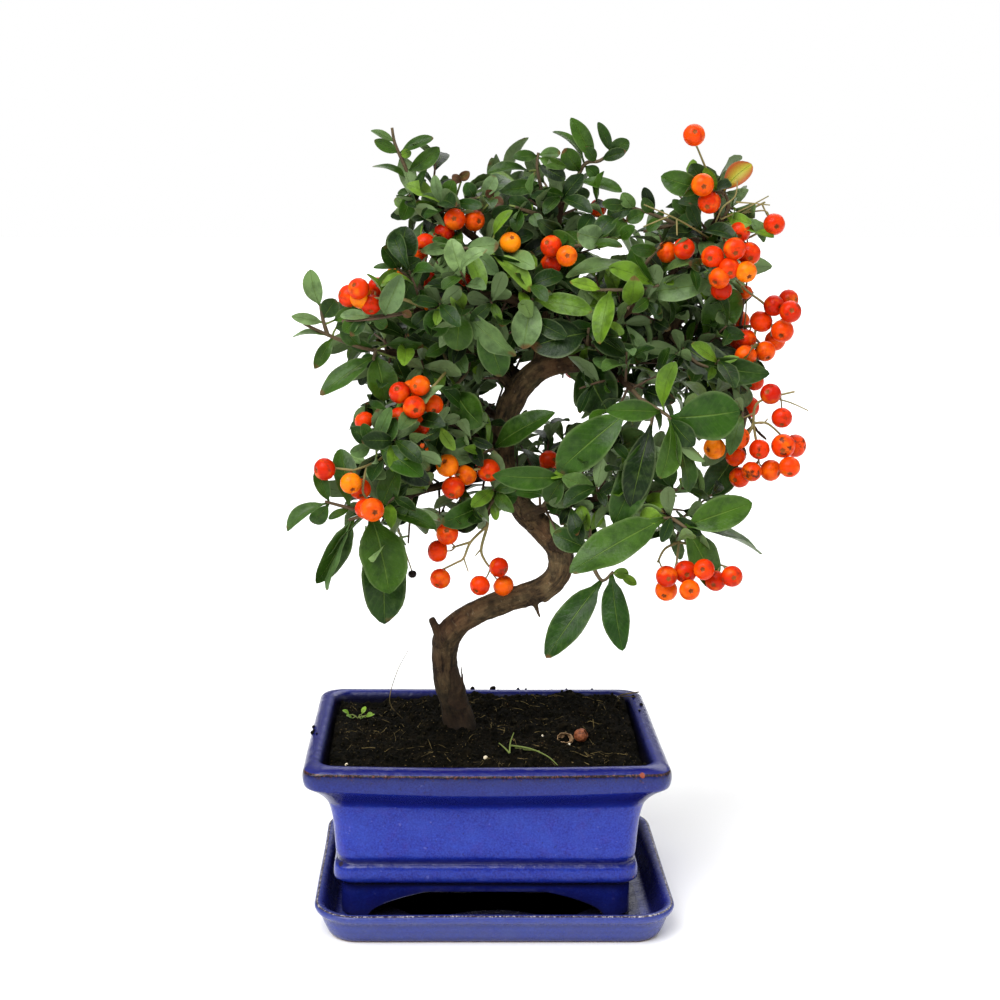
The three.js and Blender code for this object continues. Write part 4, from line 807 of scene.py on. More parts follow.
bark = Finish("bark", (20, 15, 10), Roughness=0.86, Specular_IOR_Level=0.2)
grain_place = bark.painted("grain", "Vector")
stretched, squashed = (
    bark.put("ShaderNodeMapping", {"Vector": grain_place, "Scale": scale}).outputs[0]
    for scale in ((0.22, 1, 1), (2.2, 0.7, 0.7)))
furrows = bark.cloud(1.6, 5, 0.7, stretched)
bark.wash(bark.rise(furrows, 0.36, 0.68), (106, 84, 56))
bark.dapple((136, 118, 84), 0.45, 8, 0.45, 0.7, 4)
bark.dapple((92, 50, 30), 0.42, 16, 0.48, 0.66, 3)
bark.dapple((74, 78, 42), 0.3, 12, 0.56, 0.7, 4)
bark.wash(bark.rise(bark.cloud(1.6, on=squashed), 0.66, 0.72), (142, 126, 100), 0.45)
bark.dapple((26, 20, 15), 0.5, 5, 0.5, 0.6, 5, 0.6)
height = bark.put("ShaderNodeSeparateXYZ", {0: bark.place}).outputs[2]
# Darker towards the foot of the trunk.
bark.wash(bark.fall(height, *DARK_FOOT_TO_PLAIN), (17, 12, 8), 0.84)
bark.wash(bark.fall(bark.painted("girth"), 0.3, 0.75), (48, 34, 24), 0.6)
wood.data.materials.append(bark.set(height=furrows, depth=1.0))
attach(wood, "root")
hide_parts("trunk_and_branches")


# The berry bunches.
# Ripe firethorn berries, about 9 mm across and a little flattened, each with a dark dried
# calyx at its lower end. They hang on thin green-brown stalks from branched stems.

BERRY_RADIUS = 4.5
# A berry is tried this much farther from its stem's depth, and hangs where it fits its solid.
SHIFTS = (-2, 2, -5, 5, -8, 8, -11, 11, -15, 15, -20, 20)
# Stems are (x, z, depth) paths, the first from the middle of the wood and the others from
# the first. Berries are (x, z) and a letter where one isn't plain orange: y yellow, Y golden,
# r red, s scabby, k dried black.
BUNCHES = {
    "berries_top_right": (
        [[(97, 294.5, -9), (95, 303, -14), (91, 310, -14), (86, 321, -14)]],
        [(85, 325), (89, 305), (92, 298)]),
    "berries_right_high": (
        [[(97, 294, -9), (98, 284, -18), (101, 277, -22)],
         [(98, 284, -18), (105, 282, -20), (117, 288, -20)],
         [(97.4, 289, -13.5), (107, 294, -17), (115, 298, -17)]],
        [(119, 289), (105, 286, "r"), (103, 279), (109, 277), (94, 275.5), (101, 271),
         (108, 269.5, "y"), (97, 267), (98, 262, "r")]),
    "berries_right_inner": ([[(80, 271, -12), (79, 274, -18)]], [(75, 277.5), (82, 279)]),
    "berries_right_edge": (
        [[(108, 246.8, -8), (113, 247, -13), (119, 247, -16), (124, 250, -16)],
         [(113, 247, -13), (112, 240, -16)],
         [(119, 247, -16), (117, 255, -16), (109.5, 261, -14), (104, 266, -12)]],
        [(120, 255.5, "r"), (126, 258, "r"), (127, 253, "r"), (115, 249), (124, 245), (121, 241),
         (109, 241.5), (117, 236.5), (105, 239), (109, 234.5)]),
    "berries_far_right": (
        [[(112, 207.5, -21), (113, 206, -28), (110, 200, -30), (104, 197, -30)],
         [(113, 206, -28), (119, 206, -30), (126, 200, -30)],
         [(113, 206, -28), (114, 214, -30), (120, 217, -30), (130, 219.5, -30)],
         [(113, 206, -28), (115, 196, -30), (116, 189, -30)]],
        [(101, 208, "y"), (97, 195.5, "y"), (107, 200, "s"), (106, 192), (116, 195, "s"),
         (113, 185.5, "s"), (108, 183, "s"), (121, 186), (126, 196.5, "s"), (131, 196.5, "s"),
         (129, 187.5),
         (120, 218.5, "r"), (125, 208.5, "r")]),
    "berries_right_low": (
        [[(83, 160, -34), (83, 155, -36), (82, 145, -38)],
         [(83, 155, -36), (77, 152, -37), (74, 146, -38)],
         [(83, 155, -36), (89, 153, -37), (93, 148, -38), (104, 144, -38)]],
        [(78, 140, "r"), (78, 134), (86, 142, "r"), (88, 134), (94, 143), (99, 138, "r"),
         (106, 140, "r")]),
    "berries_center_low": (
        [[(1, 166, -10), (1, 162, -13), (-1.5, 152, -14), (0, 147, -14), (3, 143, -14)],
         [(1, 162, -13), (-6, 155, -17), (-9, 148, -18), (-12, 146, -18), (-18, 143, -18)],
         [(-6, 155, -17), (-14, 152.5, -18)]],
        [(-2, 136), (6, 144, "r"), (8, 136), (-16, 158.5), (-20, 151), (-19, 139)]),
    "berries_center": (
        [[(8, 190, 3), (3, 188, -9), (-5, 186, -16), (-12, 184, -18)]],
        [(-16, 188, "y"), (-13.5, 178.5), (-8, 184, "y"), (1.5, 186)]),
    "berries_left_low": (
        [[(-40, 198.3, -27.5), (-44, 191, -30), (-50, 188, -36), (-56, 186, -38)],
         [(-50, 188, -36), (-52, 178, -38), (-50, 173, -38)],
         [(-56, 186, -38), (-64, 187, -38)]],
        [(-57, 180.5, "y"), (-53, 178), (-51, 169.5), (-48, 169), (-68, 186.5, "r")]),
    "berries_left_middle": (
        [[(-18, 237, 2), (-16, 230, -10), (-19, 225, -22), (-25, 219, -28), (-33, 214, -30)]],
        [(-36, 219, "r"), (-31, 220), (-27.5, 222), (-30, 213), (-36, 208.5, "r"), (-22, 214),
         (-28, 205)]),
    "berries_left_high": (
        [[(-25, 254, -24.3), (-34, 258, -32), (-44, 258.5, -34), (-50, 259, -34)]],
        [(-53, 262.5), (-57, 259.5), (-52, 259, "y"), (-48, 256, "r"), (-45, 263, "r")]),
    "berries_crown_left": (
        [[(-12, 289, -2), (-18, 286, -10), (-23, 283, -14)]],
        [(-25, 281), (-28, 277), (-17.5, 285, "r")]),
    "berries_crown_front": ([[(-12, 289, -2), (-9, 290, -9)]], [(-13, 291), (-5, 290.5)]),
    "berry_crown_middle": ([[(9, 271, 0.5), (11, 276, -10), (10, 279, -14)]], [(10, 281.5, "Y")]),
    "berries_crown_right": (
        [[(27, 270, 7), (33, 273, -8), (31, 275, -18)]],
        [(27, 280), (27, 272.5, "r"), (33.5, 276, "y")]),
}
# Stems that lost their berries, and how much nearer some berries hang than their solids.
BARE_STEMS = {
    "berries_right_high": [[(106, 293.5, -17), (115, 294.5, -20), (117, 291.5, -21)],
                           [(92, 283.5, -14), (79, 291, -26), (65, 297, -30)],
                           [(76, 292.5, -27), (65, 288, -30)],
                           [(78.7, 291, -26), (79, 284.5, -28)],
                           [(93, 284, -14), (97, 295, -26), (102.5, 300.3, -28),
                            (103.3, 306.7, -28)],
                           [(97, 291, -22), (108, 296, -26), (116.4, 300.5, -28)],
                           [(102.9, 298, -28), (110, 297.5, -28), (117, 296.8, -28)]],
    "berries_far_right": [[(120, 217, -30), (128, 215, -31), (136, 211.5, -32)],
                          [(112, 207, -24), (117, 206, -28), (119, 208, -30)]],
    "berries_center_low": [[(-1.5, 152, -14), (-4, 149, -16)], [(-9, 148, -18), (-7, 142, -18)]],
}
NEARER = {"berries_top_right": 12, "berries_right_high": 6, "berries_right_low": 12}
REAR_BUNCHES = {"berries_rear_right": ((48, 250, 40), 5), "berries_rear_left": ((-14, 216, 36), 5)}
# What grows in a spiral is turned by this much from one to the next.
GOLDEN_TURN = 2.39996


def nearest_on(paths, x, z):
    """The nearest place on a set of paths to a point as it shows from the front. The first
    stretch of the first path lies in the wood, and the very end of a path holds no root."""
    steps, best, best_distance = 12, None, 1e9
    for which, path in enumerate(paths):
        for i in range(1, len(path)):
            first = 7 if which == 0 and i == 1 else 0
            last = steps - 2 if i == len(path) - 1 else steps
            for k in range(first, last + 1):
                point = tuple(a + (b - a) * k / steps for a, b in zip(path[i - 1], path[i]))
                distance = math.hypot(point[0] - x, point[1] - z)
                if distance < best_distance:
                    best, best_distance = point, distance
    return best


class Shoot:
    """Twigs, and the places where leaves or berries grow on them, as points for a tree."""

    LAYERS = {
        "thick": ("FLOAT", 0.0), "grows": ("BOOLEAN", False), "kind": ("INT", 0),
        "tone": ("FLOAT", 0.0), "warm": ("FLOAT", 0.0), "turn": ("FLOAT_VECTOR", Vector()),
        "size": ("FLOAT_VECTOR", Vector((1, 1, 1))),
    }

    def __init__(self, name):
        self.name = name
        self.points = []
        self.links = []
        self.layers = {key: [] for key in self.LAYERS}

    def add(self, point, **values):
        """Adds a point, with the values of its layers that aren't plain."""
        self.points.append(point * MM)
        for key, (_, plain) in self.LAYERS.items():
            self.layers[key].append(values.get(key, plain))

    def twig(self, points, start, end, tone=0.0):
        """A twig through these points, with its radius at its start and end."""
        for k, point in enumerate(points):
            if k:
                self.links.append((len(self.points) - 1, len(self.points)))
            self.add(point, thick=(start + (end - start) * k / (len(points) - 1)) * MM, tone=tone)

    def piece(self):
        """The piece of bare points and links that the tree grows on."""
        mesh = bpy.data.meshes.new(self.name)
        mesh.from_pydata(self.points, self.links, [])
        for key, (kind, _) in self.LAYERS.items():
            paint_points(mesh, key, self.layers[key], kind)
        return new_piece(self.name, mesh)


shoot = Grower("twigs_with_what_they_carry", [
    ("Carried Shapes", "Collection", None), ("Twig Sides", "Int", 7),
    ("Twig Step", "Float", 0.0015), ("Turn Spread", "Float", 0.1), ("Size Spread", "Float", 0.05),
    ("Seed", "Int", 1), ("Twig Finish", "Material", None), ("Carried Finish", "Material", None),
])
given = shoot.given
parted = shoot.put("GeometryNodeSeparateGeometry", {
    "Geometry": given["Geometry"], "Selection": shoot.painted("grows", "BOOLEAN")}, domain="POINT")
line = shoot.put("GeometryNodeMeshToCurve", {"Mesh": parted.outputs["Inverted"]})
line = shoot.put("GeometryNodeCurveSplineType", {"Curve": line.outputs[0]},
                 spline_type="CATMULL_ROM")
line = shoot.put("GeometryNodeResampleCurve", {
    "Curve": line.outputs[0], "Length": given["Twig Step"]}, mode="LENGTH")
ring = shoot.put("GeometryNodeCurvePrimitiveCircle", {
    "Resolution": given["Twig Sides"], "Radius": 1.0})
twigs = shoot.put("GeometryNodeCurveToMesh", {
    "Curve": line.outputs[0], "Profile Curve": ring.outputs[0],
    "Scale": shoot.painted("thick", "FLOAT"), "Fill Caps": True})
spread = {}
for label, data_type, socket in (("Turn Spread", "FLOAT_VECTOR", 0), ("Size Spread", "FLOAT", 2)):
    low = shoot.put("ShaderNodeMath", {0: given[label], 1: -1.0}, operation="MULTIPLY")
    spread[label] = shoot.put("FunctionNodeRandomValue", {
        socket: low.outputs[0], socket + 1: given[label], "Seed": given["Seed"]},
        data_type=data_type)
plain_turn = shoot.put("FunctionNodeEulerToRotation", {0: shoot.painted("turn", "FLOAT_VECTOR")})
sway = shoot.put("FunctionNodeEulerToRotation", {0: spread["Turn Spread"].outputs[0]})
turn = shoot.put("FunctionNodeRotateRotation", {
    "Rotation": plain_turn.outputs[0], "Rotate By": sway.outputs[0]}, rotation_space="LOCAL")
factor = shoot.put("ShaderNodeMath", {0: spread["Size Spread"].outputs[1], 1: 1.0})
size = shoot.put("ShaderNodeVectorMath", {
    0: shoot.painted("size", "FLOAT_VECTOR"), "Scale": factor.outputs[0]}, operation="SCALE")
store = shoot.put("GeometryNodeCollectionInfo", {
    "Collection": given["Carried Shapes"], "Separate Children": True, "Reset Children": True})
carried = shoot.put("GeometryNodeInstanceOnPoints", {
    "Points": parted.outputs["Selection"], "Instance": store.outputs[0], "Pick Instance": True,
    "Instance Index": shoot.painted("kind", "INT"), "Rotation": turn.outputs[0],
    "Scale": size.outputs[0]})
whole = shoot.put("GeometryNodeJoinGeometry")
for part in (twigs, carried):
    shoot.tree.links.new(part.outputs[0], whole.inputs[0])
whole = shoot.put("GeometryNodeSetShadeSmooth", {"Geometry": whole.outputs[0]})
whole = shoot.put("GeometryNodeRealizeInstances", {"Geometry": whole.outputs[0]})
whole = shoot.put("GeometryNodeSetMaterial", {
    "Geometry": whole.outputs[0], "Material": given["Twig Finish"]})
shoot_tree = shoot.done(shoot.put("GeometryNodeSetMaterial", {
    "Geometry": whole.outputs[0], "Selection": shoot.painted("grows", "BOOLEAN"),
    "Material": given["Carried Finish"]}).outputs[0])


def berry_shape(dent):
    """A berry of radius 1 with its stalk end up. dent is how deep its calyx is sunk."""
    profile = [(0.10, 0.70), (0.34, 0.80), (0.68, 0.68), (0.92, 0.37), (1.0, 0.0), (0.94, -0.36),
               (0.72, -0.68), (0.42, -0.86), (0.24, -0.9), (0.16, -0.86 + dent), (0.07, -0.84 + dent)]
    sides, calyx_lip = 20, 8
    bm = bmesh.new()
    calyx = bm.verts.layers.float.new("calyx")
    rings = []
    for k, (reach, z) in enumerate(profile):
        ring = []
        for i in range(sides):
            angle = math.tau * i / sides
            lobe = math.cos(5 * angle)
            wide = reach * (1 + (0.12 * lobe if k == calyx_lip else 0.0))
            vert = bm.verts.new((math.cos(angle) * wide, math.sin(angle) * wide, z))
            on_lip = 0.45 + 0.2 * lobe if k == calyx_lip else 0.0
            vert[calyx] = 1.0 if k > calyx_lip else on_lip
            ring.append(vert)
        rings.append(ring)
    for high, low in zip(rings, rings[1:]):
        band(bm, low, high)
    bm.faces.new(rings[0])
    bm.faces.new(reversed(rings[-1]))
    return mesh_from(bm, "berry")


stem_finish = Finish("berry_stem", (92, 98, 44), Roughness=0.6)
stem_finish.wash(stem_finish.cloud(4), (146, 122, 74))
stem_material = stem_finish.set(height=stem_finish.cloud(0.8), depth=0.1)

ripe = Finish("berry_skin", (174, 24, 2), Roughness=0.34, Specular_IOR_Level=0.1,
              Subsurface_Weight=0.04, Subsurface_Scale=0.002, Subsurface_Radius=(1.0, 0.35, 0.1),
              Coat_Weight=0.03, Coat_Roughness=0.1)
tone = ripe.painted("tone")
ripe.wash(ripe.rise(tone, 0.05, 0.5), (218, 56, 2))
ripe.wash(ripe.rise(tone, 0.5, 1.0), (248, 148, 12))
ripe.dapple((184, 24, 2), 0.66, 4.5, 0.46, 0.72)
ripe.dapple((246, 138, 14), 0.42, 6.5, 0.54, 0.74)
scabby = ripe.sum("MULTIPLY", ripe.painted("warm"), 1.6)
scabby = ripe.sum("MAXIMUM", ripe.sum("MAXIMUM", ripe.fall(tone, 0.3, 0.6), scabby), 0.45)
scab = ripe.sum("MULTIPLY", ripe.patches(3.4, 0.54, 0.64, 5, 0.6), scabby)
ripe.wash(scab, (92, 38, 14), 0.62)
ripe.dapple((140, 48, 14), 0.5, 0.9, 0.67, 0.73, 3)
calyx_brown = ripe.over(ripe.cloud(0.6), paint(98, 42, 14), paint(164, 88, 34))
ripe.wash(ripe.rise(ripe.painted("calyx"), 0.4, 0.85), calyx_brown)
ripe.wash(ripe.sum("LESS_THAN", tone, -0.5), (26, 18, 14))
berry_material = ripe.set(height=ripe.cloud(1.5, 3), depth=0.12)

# Tone of each letter, from red over orange to golden. Dried black is below zero.
TONES = {"": 0.5, "r": 0.18, "y": 0.78, "Y": 1.0, "s": 0.5, "k": -1.0}
berry_shapes = shapes("berry_shapes", [berry_shape(0.05), berry_shape(0.14), berry_shape(0.0)])
draw = random.Random(5)


def surface_of(node):
    """The surface of a node's solid, to find what is nearest on it."""
    return BVHTree.FromObject(frame["nodes"][node], bpy.context.evaluated_depsgraph_get())


def away_from(surface, points):
    """How far these points lie from a node's surface in all, in millimetres."""
    return sum(surface.find_nearest(point * MM)[3] / MM for point in points)


def hang_berry(bunch, root, center, letter, radius=BERRY_RADIUS):
    """Adds a berry and its stalk. Its calyx looks away from the stalk and towards the eye."""
    facing = (center - root).normalized() + (EYE - center).normalized() * draw.uniform(0.2, 1.5)
    facing = (facing + Vector([draw.uniform(-0.3, 0.3) for _ in range(3)])).normalized()
    top = center - facing * radius * 0.7
    bend = root.lerp(top, 0.55) - facing * 0.8 + Vector((0, 0, -0.6))
    bunch.twig([root, bend, top], 0.36, 0.28)
    bunch.add(center, grows=True, kind=draw.randrange(3), size=Vector((1, 1, 1)) * radius * MM,
              tone=TONES[letter] + draw.uniform(-0.14, 0.12), warm=1.0 if letter == "s" else 0.0,
              turn=Vector(facing.to_track_quat("-Z", "Y").to_euler()))


def finish_bunch(name, bunch, nodes):
    """Makes a bunch a piece, in the place of these nodes if there are any."""
    piece = grown(bunch.piece(), shoot_tree, {
        "Carried Shapes": berry_shapes, "Twig Sides": 6, "Twig Step": 0.0012, "Turn Spread": 0.15,
        "Size Spread": 0.09, "Seed": len(name), "Twig Finish": stem_material,
        "Carried Finish": berry_material})
    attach(piece, "root")
    for node in nodes:
        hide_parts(node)


for name, (stems, berries) in BUNCHES.items():
    bunch = Shoot(name + "_hung")
    for number, stem in enumerate(stems):
        bunch.twig([seen(*point) for point in stem], 0.8 if number == 0 else 0.6, 0.42)
    for stem in BARE_STEMS.get(name, ()):
        bunch.twig([seen(*point) for point in stem], 0.4, 0.26)
    surface = surface_of(name)
    for x, z, *letter in berries:
        near = nearest_on(stems, x, z + BERRY_RADIUS)

        def off_node(shift):
            """How far the berry would stand off its solid."""
            center = seen(x, z, near[2] + shift)
            ends = [center + Vector(way) * BERRY_RADIUS for way in
                    ((1, 0, 0), (-1, 0, 0), (0, 1, 0), (0, -1, 0), (0, 0, 1), (0, 0, -1))]
            return away_from(surface, ends)

        shift = min(SHIFTS, key=off_node)
        center = seen(x, z, near[2] + shift - NEARER.get(name, 0))
        hang_berry(bunch, seen(*near), center, "".join(letter))
    finish_bunch(name, bunch, [name])

for name, ((x, z, y), count) in REAR_BUNCHES.items():
    low = (x + 1, z - 12, y + 2)
    stems = [[(x, z, y), low, (x + 4, z - 20, y + 3)], [low, (x - 7, z - 19, y + 1)]]
    bunch = Shoot(name + "_hung")
    for stem in stems:
        bunch.twig([seen(*point) for point in stem], 0.8, 0.5)
    for number in range(count):
        near = stems[number % 2][-1]
        angle, reach = number * GOLDEN_TURN, 5 + 1.1 * number
        center = seen(near[0] + math.cos(angle) * reach * 0.9,
                      near[1] - 5 + math.sin(angle) * reach * 0.7,
                      near[2] - 1.2 + math.sin(angle * 2) * 4)
        hang_berry(bunch, seen(*near), center, draw.choice(["", "r", ""]))
    finish_bunch(name, bunch, [name])

# Berries that hang alone, from the nearest wood: x, z, depth, radius and a letter.
STRAY_BERRIES = [
    (-23, 266, -12, 4.4, "r"), (-9, 267, -8, 4.2, "r"), (27, 190, 10, 4.4, ""),
    (-0.5, 169, -4, 3.2, "r"), (-51, 207, -30, 4.2, ""), (113, 224, -16, 4.4, ""),
    (108, 261, -8, 3.2, ""), (-38, 268, -20, 4, "Y"), (46, 295.5, 6, 4.2, ""),
    (106, 249, 0, 4.2, ""), (111, 213, -6, 4.2, ""), (-24, 255, -26, 1.6, "Y"),
    (-31, 141, -16, 1.9, "k"),
]


def nearest_wood(point):
    """The middle of the wood nearest to a point."""
    return samples[tree_of_samples.find(point)[1]][0]


strays = Shoot("berries_alone")
for x, z, y, radius, letter in STRAY_BERRIES:
    center = seen(x, z, y)
    hang_berry(strays, nearest_wood(center + Vector((0, 0, 6))), center, letter, radius)
finish_bunch("berries_alone", strays, [])
put_away(berry_shapes)


# The leafy sprays.
# Firethorn leaves: small, leathery, dark green and a little glossy above and paler below,
# with a pale midrib. They grow on short stalks in tufts on side twigs, the youngest ones
# yellow-green.

# How wide a leaf is at least beside its length, from how far off its twig it has a neck, and
# how far beside a leaf the crown behind it is filled.
SLIMMEST = 0.35
NECK_FROM = 3.0
GAP_FILLED = 3.4
# A front leaf is tried this much farther and rolled this much, a rear one is turned round its
# twig in as many steps, and each stays where it fits its solid.
LEAF_SHIFTS = (0, -4, 4, -8, 8, -13, 13)
LEAF_ROLLS = (0, 0.45, -0.45)
